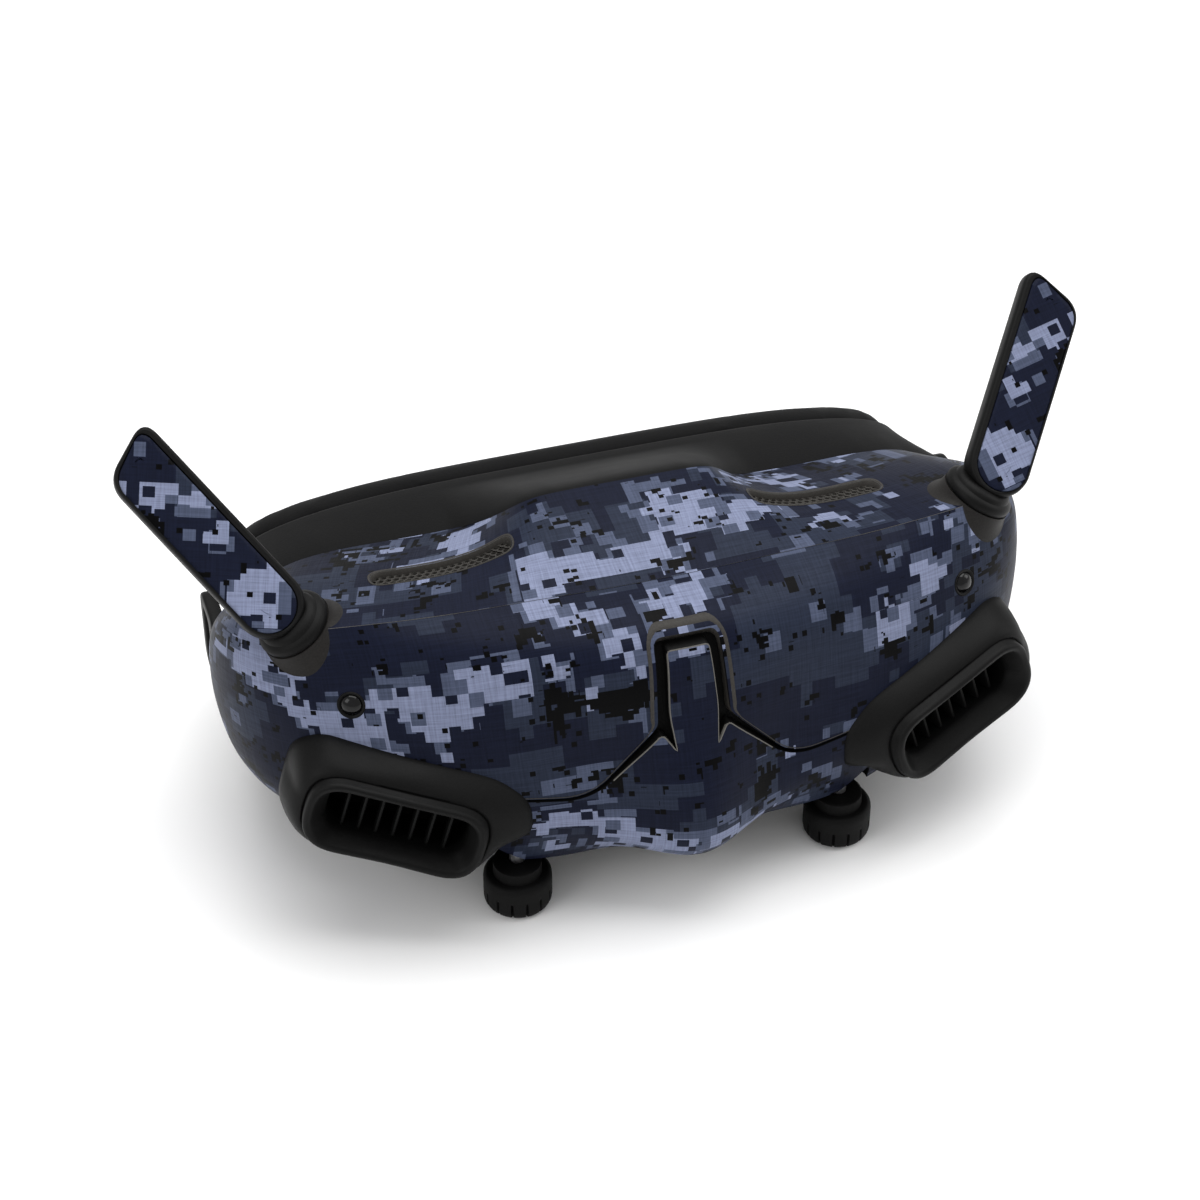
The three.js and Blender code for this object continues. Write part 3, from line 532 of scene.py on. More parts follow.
def math_node(tree, operation, a, b=0.0, clamp=False):
    return node(tree, "Math", {0: a, 1: b}, operation=operation, use_clamp=clamp).outputs[0]


def vector_node(tree, operation, a, b=(0, 0, 0)):
    item = node(tree, "VectorMath", {0: a, 1: b}, operation=operation)
    return item.outputs["Value"] if operation in ("LENGTH", "DOT_PRODUCT") else item.outputs["Vector"]


def noise_node(tree, vector, scale, detail=2.0, roughness=0.5):
    return node(tree, "TexNoise", {"Vector": vector, "Scale": scale, "Detail": detail, "Roughness": roughness}
                ).outputs["Fac"]


def ramp_node(tree, value, low, high, out_low, out_high):
    return node(tree, "MapRange", {"Value": value, "From Min": low, "From Max": high, "To Min": out_low,
                                   "To Max": out_high}).outputs["Result"]


def mix_node(tree, factor, a, b, blend="MIX"):
    item = node(tree, "Mix", data_type="RGBA", blend_type=blend)
    for index, value in ((0, factor), (6, a), (7, b)):
        socket = item.inputs[index]
        if isinstance(value, bpy.types.NodeSocket):
            tree.links.new(value, socket)
        else:
            socket.default_value = value if index == 0 else (*value, 1)
    return item.outputs[2]


def bump_node(tree, height, distance, strength=1.0, normal=None):
    inputs = {"Height": height, "Distance": distance, "Strength": strength}
    if normal is not None:
        inputs["Normal"] = normal
    return node(tree, "Bump", inputs).outputs["Normal"]


def srgb(code):
    values = [int(code[i:i + 2], 16) / 255 for i in (0, 2, 4)]
    return tuple(v / 12.92 if v <= 0.04045 else ((v + 0.055) / 1.055) ** 2.4 for v in values)


def grained(name, dark, light, rough=(0.42, 0.6), grain=0.35, depth=0.00003, specular=0.12, sheen=0.0,
            coat=0.0):
    """Moulded plastic: a fine grain, uneven gloss and a slow drift of tone."""
    material, tree, shader = new_material(name)
    place = node(tree, "TexCoord").outputs["Object"]
    fine = noise_node(tree, place, 1000 / grain, 2.0, 0.6)
    slow = noise_node(tree, place, 45.0, 3.0, 0.55)
    tone = math_node(tree, "ADD", math_node(tree, "MULTIPLY", fine, 0.55), math_node(tree, "MULTIPLY", slow,
                                                                                     0.45))
    factor = ramp_node(tree, tone, 0.36, 0.64, 0.0, 1.0)
    tree.links.new(mix_node(tree, factor, srgb(dark), srgb(light)), shader.inputs["Base Color"])
    tree.links.new(ramp_node(tree, slow, 0.3, 0.7, rough[0], rough[1]), shader.inputs["Roughness"])
    tree.links.new(bump_node(tree, fine, depth, 0.6), shader.inputs["Normal"])
    shader.inputs["Specular IOR Level"].default_value = specular
    if sheen:
        shader.inputs["Sheen Weight"].default_value = sheen
        shader.inputs["Sheen Roughness"].default_value = 0.5
    if coat:
        shader.inputs["Coat Weight"].default_value = coat
        shader.inputs["Coat Roughness"].default_value = 0.12
    return material


NAVY, SLATE, MIST, PALE, INK = "121626", "262c3b", "454c60", "757c95", "010102"
# Where the print gathers its tones: centre u, centre v, half width, half height and weight, in mm.
PALE_SPOTS = (
    (-52, 17, 14, 6, 0.22), (-66, 22, 7, 4, 0.18), (-38, 14, 7, 4, 0.2), (-8, 11, 8, 4, 0.2), (-3, 4, 5, 3,
                                                                                               0.15),
    (-12, 15, 4, 5, 0.15), (55, 12, 6, 4, 0.2), (47, 16, 3, 2, 0.1), (-89, 8, 6, 7, 0.18), (-81, 14, 7, 6,
                                                                                            0.15),
    (-23, 43, 9, 3, 0.2), (-12, 48, 8, 3, 0.18), (26, 44, 6, 3, 0.15), (-46, -20, 10, 4, 0.2),
    (-18, -10, 18, 4, 0.22),
    (0, -8, 12, 3, 0.15), (14, -15, 10, 4, 0.2), (-58, -14, 6, 5, 0.12), (50, -12, 5, 3, 0.1),
    (-44, 5, 16, 4, -0.2), (-31, 22, 6, 8, -0.15), (-2, 35, 10, 10, -0.2), (14, 24, 12, 9, -0.2),
    (-27, 32, 12, 6, -0.2), (3, -29, 14, 4, -0.1), (63, -18, 10, 8, -0.2),
)
SLATE_SPOTS = (
    (21, 16, 14, 8, 0.15), (32, 8, 16, 6, 0.12), (-44, -12, 14, 4, 0.15), (62, 20, 8, 6, 0.12), (26, -8, 14,
                                                                                                 5, 0.1),
    (-44, 5, 16, 4, -0.15), (-2, 35, 8, 8, -0.1), (14, 26, 8, 6, -0.1),
)
INK_SPOTS = (
    (-20, 21, 8, 5, 0.15), (-26, 18, 5, 3, 0.12), (-12, 21, 4, 3, 0.12), (-27, 8, 6, 3, 0.14),
    (-29, 5, 4, 3, 0.08),
    (15, 39, 6, 8, 0.14), (-56, -29, 12, 4, 0.18), (63, -20, 9, 7, 0.15), (-40, -8, 4, 2, 0.1), (-87, 35, 6,
                                                                                                 7, 0.14),
    (-68, -18, 5, 6, 0.1), (70, 14, 4, 8, 0.12), (-52, 17, 14, 6, -0.1), (-18, -10, 18, 4, -0.08),
)


def camouflage(name, pale_spots=(), slate_spots=(), ink_spots=(), turn=0.0, seed=0.0, pale=0.0, ink=0.0):
    """Printed film: square-edged patches in several tones and sizes, on a fine linen weave."""
    material, tree, shader = new_material(name)
    uv = node(tree, "UVMap", uv_map="UVMap").outputs["UV"]
    place = vector_node(tree, "MULTIPLY", uv, (1000, 1000, 0))
    if turn:
        place = node(tree, "VectorRotate", {"Vector": place, "Angle": math.radians(turn)},
                     rotation_type="Z_AXIS").outputs["Vector"]

    def cells(size, shift=0.0):
        moved = vector_node(tree, "ADD", place, (shift + 400, shift * 1.7 + 400, seed))
        return vector_node(tree, "SNAP", moved, (size, size * 0.92, 1000))

    def field(where, size, offset):
        scaled = vector_node(tree, "MULTIPLY", where, (1 / size, 1.15 / size, 0))
        moved = vector_node(tree, "ADD", scaled, (offset + seed, offset * 0.37, offset * 1.3 + seed))
        return noise_node(tree, moved, 1.0, 1.5, 0.5)

    def spots(where, items):
        total = None
        for u, v, half_u, half_v, weight in items:
            away = vector_node(tree, "SUBTRACT", where, (400 + u, 400 + v, 0))
            away = vector_node(tree, "MULTIPLY", away, (1 / half_u, 1 / half_v, 0))
            near = ramp_node(tree, vector_node(tree, "LENGTH", away), 0.55, 1.35, weight, 0.0)
            total = near if total is None else math_node(tree, "ADD", total, near)
        return total

    def mask(size, shift, spread, offset, level, items=(), ragged=0.0):
        where = cells(size, shift)
        value = field(where, spread, offset)
        if ragged:
            value = math_node(tree, "ADD", value, math_node(
                tree, "MULTIPLY", math_node(tree, "SUBTRACT", field(where, spread * 0.3, offset + 7), 0.5),
                ragged))
        extra = spots(where, items)
        if extra is not None:
            value = math_node(tree, "ADD", value, extra)
        return math_node(tree, "GREATER_THAN", value, level)

    def speckle(size, shift, share, gate):
        where = cells(size, shift)
        random = node(tree, "TexWhiteNoise", {"Vector": where}, noise_dimensions="3D").outputs["Value"]
        picked = math_node(tree, "LESS_THAN", random, share)
        return math_node(tree, "MULTIPLY", picked, gate)

    slate_mask = mask(2.6, 0.4, 15, 3.1, 0.53, slate_spots, 0.25)
    pale_mask = mask(2.4, 0.0, 14, 11.7, 0.62 - pale, pale_spots, 0.3)
    pale_halo = mask(2.4, 1.1, 14, 11.7, 0.575 - pale, pale_spots, 0.3)
    ink_mask = mask(1.1, 0.3, 8, 23.9, 0.70 - ink, ink_spots, 0.7)
    ink_halo = mask(1.1, 0.3, 8, 23.9, 0.645 - ink, ink_spots, 0.7)
    colour = mix_node(tree, math_node(tree, "MULTIPLY", slate_mask, 0.85), srgb(NAVY), srgb(SLATE))
    colour = mix_node(tree, speckle(3.6, 1.9, 0.16, slate_mask), colour, srgb(MIST))
    colour = mix_node(tree, speckle(3.1, 0.8, 0.55, pale_halo), colour, srgb(MIST))
    colour = mix_node(tree, pale_mask, colour, srgb(PALE))
    colour = mix_node(tree, speckle(2.3, 1.3, 0.09, pale_mask), colour, srgb(NAVY))
    colour = mix_node(tree, speckle(2.9, 2.2, 0.14, pale_mask), colour, srgb(MIST))
    colour = mix_node(tree, ink_mask, colour, srgb(INK))
    colour = mix_node(tree, speckle(0.95, 0.2, 0.3, ink_halo), colour, srgb(INK))
    stray = field(cells(1.0, 0.5), 9, 31.0)
    colour = mix_node(tree, speckle(1.1, 0.5, 0.025, math_node(tree, "GREATER_THAN", stray, 0.56)), colour,
                      srgb(INK))

    def threads(across, along, offset):
        scaled = vector_node(tree, "MULTIPLY", place, (across, along, 0))
        return noise_node(tree, vector_node(tree, "ADD", scaled, (offset, offset, 0)), 1.0, 3.0, 0.65)

    warp = threads(2.6, 0.10, 5.0)
    weft = threads(0.10, 2.6, 17.0)
    weave = math_node(tree, "ADD", warp, weft)
    shade = ramp_node(tree, weave, 0.7, 1.3, 0.72, 1.3)
    shaded = vector_node(tree, "SCALE", colour)
    tree.links.new(shade, shaded.node.inputs["Scale"])
    tree.links.new(shaded, shader.inputs["Base Color"])
    tree.links.new(ramp_node(tree, weave, 0.7, 1.3, 0.5, 0.38), shader.inputs["Roughness"])
    tree.links.new(bump_node(tree, weave, 0.00003, 0.5), shader.inputs["Normal"])
    shader.inputs["Specular IOR Level"].default_value = 0.06
    return material


def paper_material():
    material, tree, shader = new_material("backdrop_paper")
    place = node(tree, "TexCoord").outputs["Object"]
    soft = noise_node(tree, place, 3.0, 2.0)
    tree.links.new(mix_node(tree, ramp_node(tree, soft, 0.3, 0.7, 0, 1), (0.93, 0.93, 0.93), (0.95, 0.95,
                                                                                              0.95)),
                   shader.inputs["Base Color"])
    tree.links.new(ramp_node(tree, soft, 0.3, 0.7, 0.3, 0.36), shader.inputs["Roughness"])
    return material


def glass_material():
    material, tree, shader = new_material("lens_glass")
    place = node(tree, "TexCoord").outputs["Object"]
    dust = noise_node(tree, place, 900.0, 2.0)
    tree.links.new(ramp_node(tree, dust, 0.3, 0.7, 0.02, 0.06), shader.inputs["Roughness"])
    shader.inputs["Base Color"].default_value = (0.55, 0.62, 0.78, 1)
    shader.inputs["Transmission Weight"].default_value = 0.9
    shader.inputs["IOR"].default_value = 1.49
    shader.inputs["Coat Weight"].default_value = 0.5
    shader.inputs["Coat Tint"].default_value = (0.7, 0.6, 1.0, 1)
    return material


def brushed(name, dark, light, stretch=(40, 900, 900), metallic=1.0, rough=(0.25, 0.42)):
    material, tree, shader = new_material(name)
    place = node(tree, "TexCoord").outputs["Object"]
    lines = noise_node(tree, vector_node(tree, "MULTIPLY", place, stretch), 1.0, 3.0, 0.6)
    tree.links.new(mix_node(tree, lines, srgb(dark), srgb(light)), shader.inputs["Base Color"])
    tree.links.new(ramp_node(tree, lines, 0.3, 0.7, *rough), shader.inputs["Roughness"])
    tree.links.new(bump_node(tree, lines, 0.00001, 0.5), shader.inputs["Normal"])
    shader.inputs["Metallic"].default_value = metallic
    return material


def board_material():
    material, tree, shader = new_material("circuit_board")
    place = node(tree, "TexCoord").outputs["Object"]
    cell = vector_node(tree, "SNAP", place, (0.0016, 0.0024, 1.0))
    spots = node(tree, "TexWhiteNoise", {"Vector": cell}, noise_dimensions="3D").outputs["Value"]
    part = math_node(tree, "GREATER_THAN", spots, 0.72)
    trace = noise_node(tree, vector_node(tree, "MULTIPLY", place, (180, 900, 1)), 1.0, 1.0)
    green = mix_node(tree, ramp_node(tree, trace, 0.45, 0.55, 0, 1), srgb("123a26"), srgb("1d5538"))
    tree.links.new(mix_node(tree, part, green, srgb("1a1a1c")), shader.inputs["Base Color"])
    tree.links.new(bump_node(tree, part, 0.0003, 1.0), shader.inputs["Normal"])
    shader.inputs["Roughness"].default_value = 0.35
    return material


BLACK = grained("black_plastic", "080808", "0e0e0e")
SOFT_BLACK = grained("soft_black", "080808", "0e0e0f", rough=(0.6, 0.75), grain=0.45, depth=0.00006,
                     specular=0.08,
                     sheen=0.03)
KNOB_BLACK = grained("knob_rubber", "060606", "0b0b0b", rough=(0.5, 0.66), grain=0.3, specular=0.12)
GREY = grained("bare_plastic", "1d1c1b", "272524", rough=(0.45, 0.6), grain=0.4)
LIP = grained("moulded_lip", "343230", "3f3d3a", rough=(0.45, 0.6), grain=0.4)
EDGE = grained("film_edge", "5d5b57", "6a6864", rough=(0.5, 0.6), grain=0.4)
DARK = grained("inner_black", "060606", "0a0a0a", rough=(0.6, 0.8), specular=0.1)
GLOSS = grained("gloss_black", "030304", "070709", rough=(0.12, 0.2), grain=1.2, depth=0.000003,
                specular=0.25,
                coat=0.08)
FOAM = grained("face_foam", "080808", "0e0e0f", rough=(0.7, 0.85), grain=0.5, depth=0.00009, specular=0.08,
               sheen=0.04)
STEEL = brushed("steel", "8d8d90", "b9b9bc")
ALUMINIUM = brushed("aluminium", "9c9ca0", "c6c6ca", (900, 60, 900))
BOARD = board_material()
GLASS = glass_material()
SKIN = camouflage("camouflage_film", PALE_SPOTS, SLATE_SPOTS, INK_SPOTS)
BLADE_SKIN = camouflage("camouflage_film_antenna", turn=-45, seed=57.0, pale=0.09)

FRONT_DATA = (FRONT_TREE, FRONT_VERTS, FRONT_FACES, FRONT_FLAT_N)


def dress(obj, body, cad):
    """The piece stands for a CAD node and moves with its body."""
    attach(obj, body)
    if cad:
        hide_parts(*([cad] if isinstance(cad, str) else cad))
    return obj


def pair(build, body, cad, name):
    """Builds the piece on the wearer's left, and mirrors it for the right."""
    left = build(name + "_left")
    right = mirrored_copy(left, name + "_right")
    for side, obj in (("left", left), ("right", right)):
        which = body if body == "housing" else f"{body}_{side}"
        nodes = [f"{n}_{side}" for n in ([cad] if isinstance(cad, str) else cad)] if cad else None
        dress(obj, which, nodes)
    return left, right


# ---------- nose: the opening in the front, and the chin that fills it ----------
# Outlines in X and Z, from the middle of the top to the wearer's left.
OPENING_HALF = [(6.5, 10.8), (7.3, -4.9), (20.4, -19.7), (33.0, -18.7)]
CHIN_HALF = [(4.2, 8.9), (4.9, -3.0), (4.2, -10.0), (6.6, -6.6), (20.2, -20.4), (33.0, -19.3)]


def nose_outline(half, corner, bottom=-60.0):
    left = [(-x, z) for x, z in reversed(half)]
    points = [(-33.0, bottom)] + left + half + [(33.0, bottom)]
    corners = [0] + list(reversed(corner)) + corner + [0]
    return rounded(points, corners, 8)


OPENING = nose_outline(OPENING_HALF, [1.9, 1.0, 7.0, 0])
CHIN = nose_outline(CHIN_HALF, [0.7, 2.0, 0.15, 1.2, 7.0, 0])


def strip_on_front(name, path, profile, material, taper=None):
    """A moulding along a line on the front: profile is [offset to the left of the line, height]."""
    path = np.asarray(path, float)
    tangent = np.gradient(path, axis=0)
    tangent /= np.linalg.norm(tangent, axis=1, keepdims=True)
    side = np.stack([-tangent[:, 1], tangent[:, 0]], axis=1)
    rows = []
    for aside, height in profile:
        width = np.ones(len(path)) if taper is None else taper(path)
        moved = path + side * (aside * width)[:, None]
        rows.append([on_front(x, z, height) for x, z in moved])
    rows = np.array(rows)
    obj = mesh_object(name, rows.reshape(-1, 3), grid_faces(rows.shape[0], rows.shape[1]), material, sharp=50)
    return obj


def lip_taper(path):
    """Broad round the groove over the nose, thin where it runs out to the vents."""
    high = np.clip((path[:, 1] + 7.5) / 4.0, 0, 1)
    return 0.22 + 0.78 * high * high * (3 - 2 * high)


def shaft_slot(s):
    """Room for a knob's shaft over the whole travel of its eyepiece."""
    middle = basis((EYE_X, KNOB_Y, 0), (1, 0, 0), (0, 0, 1))
    cut = prism_in("shaft_slot", middle, rounded([(-6.1, -2.1), (6.1, -2.1), (6.1, 2.1), (-6.1, 2.1)], 2.1,
                                                 8),
                   -50, -31.6)
    return cut if s > 0 else swap_for_mirror(cut)


def vent_cut(s):
    """The hole in the skin that an exhaust vent sits in."""
    cut = prism_in("vent_cut", VENT_FRAME, vent_ring_xy("flange", 0.93), -22, 14)
    return cut if s > 0 else swap_for_mirror(cut)


def make_front():
    uvs = arc_lengths(FRONT)
    front = shell("front_skin", FRONT, FRONT_N, WALL, SKIN, uvs)
    chin = shell("chin_skin", FRONT, FRONT_N, WALL, SKIN, uvs)
    boolean(front, prism_y("opening_cut", OPENING, -60, 3))
    for s in (1, -1):
        boolean(front, vent_cut(s))
        boolean(front, sensor_cut(s))
    boolean(chin, prism_y("chin_cut", CHIN, -60, 3), "INTERSECT")
    for s in (1, -1):
        boolean(chin, vent_cut(s))
    for obj in (front, chin):
        for s in (1, -1):
            boolean(obj, shaft_slot(s))
        dress_shell(obj, FRONT_DATA, BLACK)
    dress(front, "housing", "front_cover")
    dress(chin, "housing", "chin_cover")

    line = dense(OPENING[1:-1], 0.45)
    outer = strip_on_front("nose_lip", line, [(1.45, -0.25), (1.35, 0.10), (0.95, 0.14), (0.5, -0.05),
                                              (0.1, -0.7),
                                              (0.0, -1.4), (0.0, -2.6)], LIP, lip_taper)
    inner_line = dense(CHIN[9:-9], 0.4)
    inner = strip_on_front("chin_lip", inner_line, [(0.05, -0.6), (0.05, -0.1), (0.0, 0.04), (-0.16, 0.05),
                                                    (-0.2, -0.3)], EDGE)
    rows = []
    for z in np.linspace(12.4, -26, 48):
        half = 9.5 if z > -5 else 9.5 + (34 - 9.5) * min(1, (-5 - z) / 12)
        rows.append([on_front(x, z, -2.5) for x in np.linspace(-half, half, 40)])
    rows = np.array(rows)
    bed = mesh_object("nose_bed", rows.reshape(-1, 3), grid_faces(*rows.shape[:2]), DARK)
    groove = join("nose_groove", [outer, inner, bed])
    for poly in groove.data.polygons:
        poly.use_smooth = True
    dress(groove, "housing", "nose_arch_trim")


SEAM_TOP, SEAM_LOW = -35.3, -36.5
SEAM_FROM, SEAM_TO = 0.8, 6.5


def make_floor_seam():
    """A ledge inside the skin's lower edge, where the bottom cover meets it."""
    edge, out = FRONT[FLOOR_ROW], FRONT_N[FLOOR_ROW] * (1, 1, 0)
    out = out / np.linalg.norm(out, axis=1)[:, None]
    corners = []
    for reach, z in ((SEAM_FROM, SEAM_LOW), (SEAM_TO, SEAM_LOW), (SEAM_TO, SEAM_TOP), (SEAM_FROM, SEAM_TOP)):
        line = edge - out * reach
        line[:, 2] = z
        corners.append(line)
    seam = loft("floor_seam", list(np.stack(corners, axis=1)), DARK)
    fix_outward(seam)
    for s in (1, -1):
        boolean(seam, shaft_slot(s))
    dress(seam, "housing", None)


def swap_for_mirror(obj):
    copy = mirrored_copy(obj, obj.name)
    remove(obj)
    fix_outward(copy)
    return copy


# ---------- front sensors ----------
SENSOR = on_front(62.3, 0.0)
SENSOR_OUT = smooth_normal(FRONT_VERTS, FRONT_FACES, FRONT_FLAT_N,
                           *FRONT_TREE.find_nearest(Vector(SENSOR))[0:3:2])


def sensor_cut(s):
    cut = lathe("sensor_cut", [(0, -8), (2.75, -8), (2.75, 4), (0, 4)], SENSOR, SENSOR_OUT, None, 48)
    fix_outward(cut)
    return cut if s > 0 else swap_for_mirror(cut)


def sensor(name):
    rim = lathe("rim", [(0, -3.2), (2.72, -3.2), (2.72, 0.02), (2.6, 0.16), (2.35, 0.14), (2.1, -0.1)],
                SENSOR,
                SENSOR_OUT, BLACK, 64)
    eye = lathe("eye", [(2.15, -0.25), (2.0, 0.05), (1.6, 0.45), (1.1, 0.7), (0.55, 0.82), (0.0, 0.86)],
                SENSOR,
                SENSOR_OUT, GLOSS, 64)
    return join(name, [rim, eye])


# ---------- exhaust vents ----------
VENT_FRAME = basis((57.2, -12.4, -21.4), (0.9, 0.33, 0.27), (0.31, -0.93, 0.10))
VENT_N = 120


def rect_outline(x0, x1, y0, y1, r):
    return rounded([(x0, y0), (x1, y0), (x1, y1), (x0, y1)], r * 1.25, 10)


def radii_of(outline, angles):
    """How far an outline lies from the middle, in each direction."""
    outline = np.asarray(outline, float)
    a = np.unwrap(np.arctan2(outline[:, 1], outline[:, 0]))
    order = np.argsort(a % (2 * math.pi))
    a, r = (a % (2 * math.pi))[order], np.hypot(outline[:, 0], outline[:, 1])[order]
    a = np.concatenate([a[-1:] - 2 * math.pi, a, a[:1] + 2 * math.pi])
    r = np.concatenate([r[-1:], r, r[:1]])
    return np.interp(angles % (2 * math.pi), a, r)


BEZEL = rect_outline(-17.4, 18.6, -8.4, 8.3, 6.2)
VENT_ANGLES = np.arctan2(*dense(BEZEL, 0.5, True)[:: 1, ::-1].T)
VENT_ANGLES = np.sort(np.interp(np.linspace(0, 1, VENT_N, endpoint=False),
                                np.linspace(0, 1, len(VENT_ANGLES)), np.sort(VENT_ANGLES)))
FLANGE = rounded([(-25.6, 2.0), (-23.6, 9.4), (-16.5, 12.6), (-12, 13.0), (18.6, 11.6), (23.4, 7.0),
                  (23.8, -4.5),
                  (18.5, -11.6), (-13.5, -11.4), (-18.5, -6.5), (-21.5, -1.0)], 4.0, 8)
OPEN_SOFT = rect_outline(-15.6, 16.8, -6.7, 6.6, 4.8)
OPEN_DEEP = rect_outline(-13.2, 14.2, -4.7, 5.3, 3.2)


def vent_ring_xy(which, scale=1.0, inset=0.0):
    outline = {"flange": dense(FLANGE, 0.5, True), "bezel": dense(BEZEL, 0.4, True),
               "soft": dense(OPEN_SOFT, 0.4, True), "deep": dense(OPEN_DEEP, 0.4, True)}[which]
    r = radii_of(outline, VENT_ANGLES) * scale - inset
    return np.stack([r * np.cos(VENT_ANGLES), r * np.sin(VENT_ANGLES)], axis=1)


def in_vent(xy, z):
    return in_basis(VENT_FRAME, xy[:, 0], xy[:, 1], np.full(len(xy), z) if np.isscalar(z) else z)


def vent(name):
    flange, bezel = vent_ring_xy("flange"), vent_ring_xy("bezel")
    out = VENT_FRAME[3]
    depth = []
    for (x, y) in flange:
        start = in_basis(VENT_FRAME, [x], [y], [25.0])[0]
        hit = cast(start, -out, 0.12)
        z = float(np.dot(hit - VENT_FRAME[0], out)) if hit is not None else None
        depth.append(z)
    good = np.array([-7.0 if z is None or z < -11 else z for z in depth])
    for _ in range(3):
        good = np.where(np.array([z is None or z < -11 for z in depth]),
                        (np.roll(good, 1) + np.roll(good, -1)) / 2, good)
    back = vent_ring_xy("deep", 1.0, -0.8)
    rings = [in_vent(back, -11.6), in_vent(back, -5.0), in_vent(flange * 0.93, good - 2.6),
             in_vent(flange * 0.985, good - 2.5), in_vent(flange, good)]
    for t in (0.1, 0.25, 0.42, 0.6, 0.78, 0.92):
        ease = math.sin(t * math.pi / 2) ** 0.85
        xy = flange * (1 - t) + bezel * t
        rings.append(in_vent(xy, good * (1 - ease) + 0.1 * ease))
    rings.append(in_vent(bezel, 0.1))
    rim = [("bezel", 0.12, -0.15), ("bezel", 0.3, 0.1), ("bezel", 0.4, 1.6), ("bezel", 0.75, 2.3),
           ("bezel", 1.3, 2.5), ("soft", 0.0, 2.3), ("soft", 0.35, 1.9)]
    rings += [in_vent(vent_ring_xy(kind, 1.0, inset), z) for kind, inset, z in rim]
    soft, deep = vent_ring_xy("soft", 1.0, 0.35), vent_ring_xy("deep")
    for t, z in ((0.35, 0.7), (0.7, -0.5), (0.93, -1.3)):
        rings.append(in_vent(soft * (1 - t) + deep * t, z))
    rings += [in_vent(deep, -1.9), in_vent(deep, -4.0), in_vent(deep, -10.5), in_vent(deep * 0.2, -10.6)]
    snout = loft(name, rings, BLACK, flip=True, sharp=75)
    boolean(snout, shaft_slot(1))
    return snout


def louvre(name):
    parts = []
    for i in range(7):
        x = (i - 3) * 3.35 + 0.4
        outline = rounded([(x - 0.42, -6.0), (x + 0.42, -6.0), (x + 0.42, 6.4), (x - 0.42, 6.4)], 0.2, 3)
        rings = [in_vent(outline, -9.0), in_vent(outline, -2.9),
                 in_vent(np.stack([x + (outline[:, 0] - x) * 0.5, outline[:, 1]], axis=1), -2.6)]
        parts.append(loft(f"slat_{i}", rings, BLACK, flip=True, sharp=50))
    return join(name, parts)


# ---------- antennas ----------
BOSS_AXIS = unit((0.5, -0.05, 0.86))
COLLAR = np.array((69.7, 12.9, 11.4))
BLADE_BASE = np.array((73.9, 12.2, 18.1))
BLADE_ALONG = unit((0.52, 0.62, 0.58))
BLADE_OUT = unit((0.04, -0.7, 0.71))
BLADE_SIDE = unit(np.cross(BLADE_ALONG, BLADE_OUT))
BLADE_W, BLADE_L, BLADE_T, TIP_SLANT, TIP_R = 13.2, 39.2, 4.6, 2.3, 3.4
PIVOT = BLADE_BASE - BLADE_OUT * BLADE_T + BLADE_ALONG * 3
FOLD_AXIS = unit((-0.6, 0.2, 0.76))


def blade_outline(inset, shift=0.0, count=160):
    h = BLADE_W / 2 - inset
    top, bottom = BLADE_L + TIP_SLANT - inset, BLADE_L - TIP_SLANT - inset
    arc = [(h * math.cos(a), h * math.sin(a)) for a in np.linspace(math.pi, 2 * math.pi, 40)]
    r = max(0.5, TIP_R - inset * 0.6)
    corner = rounded([(h, 0), (h, bottom), (-h, top), (-h, 0)], [0, r * 1.2, r * 1.2, 0], 12)
    points = np.array(arc + [tuple(p) for p in corner[1:-1]])
    return resample(points, count) + (shift, 0)


def resample(points, count):
    """A closed outline as evenly spaced points."""
    loop = np.vstack([points, points[:1]])
    s = np.concatenate([[0], np.cumsum(np.linalg.norm(np.diff(loop, axis=0), axis=1))])
    t = np.linspace(0, s[-1], count, endpoint=False)
    return np.stack([np.interp(t, s, loop[:, k]) for k in (0, 1)], axis=1)


def in_blade(xy, z):
    xy = np.asarray(xy)
    return BLADE_BASE + np.outer(xy[:, 0], BLADE_SIDE) + np.outer(xy[:, 1], BLADE_ALONG) + np.outer(
        np.full(len(xy), z), BLADE_OUT)


def antenna_blade(name):
    """Rounded slab with a sunk bed for the printed plate, and the hinge barrels behind it."""
    profile = [(2.6, -BLADE_T - 0.25), (1.3, -BLADE_T - 0.1), (0.5, -BLADE_T + 0.25), (0.12, -BLADE_T + 0.8),
               (0.0, -BLADE_T + 1.5), (0.0, -1.3), (0.1, -0.65), (0.32, -0.2), (0.55, 0.0), (0.75, 0.02)]
    rings = [in_blade(blade_outline(inset), z) for inset, z in profile]
    for inset, z in ((0.98, -0.05), (1.05, -0.35), (1.1, -0.7)):
        rings.append(in_blade(blade_outline(inset, 0.5 if inset > 0.9 else 0.0), z))
    body = loft("slab", rings, BLACK, flip=False, sharp=60)
    parts = [body]
    for low, high in ((-4.6, -2.3), (2.3, 4.6)):
        parts.append(lathe("barrel", [(0, low), (1.7, low), (2.0, low + 0.25), (2.0, high - 0.25),
                                      (1.7, high), (0, high)],
                           PIVOT, FOLD_AXIS, BLACK, 40))
    return join(name, parts)


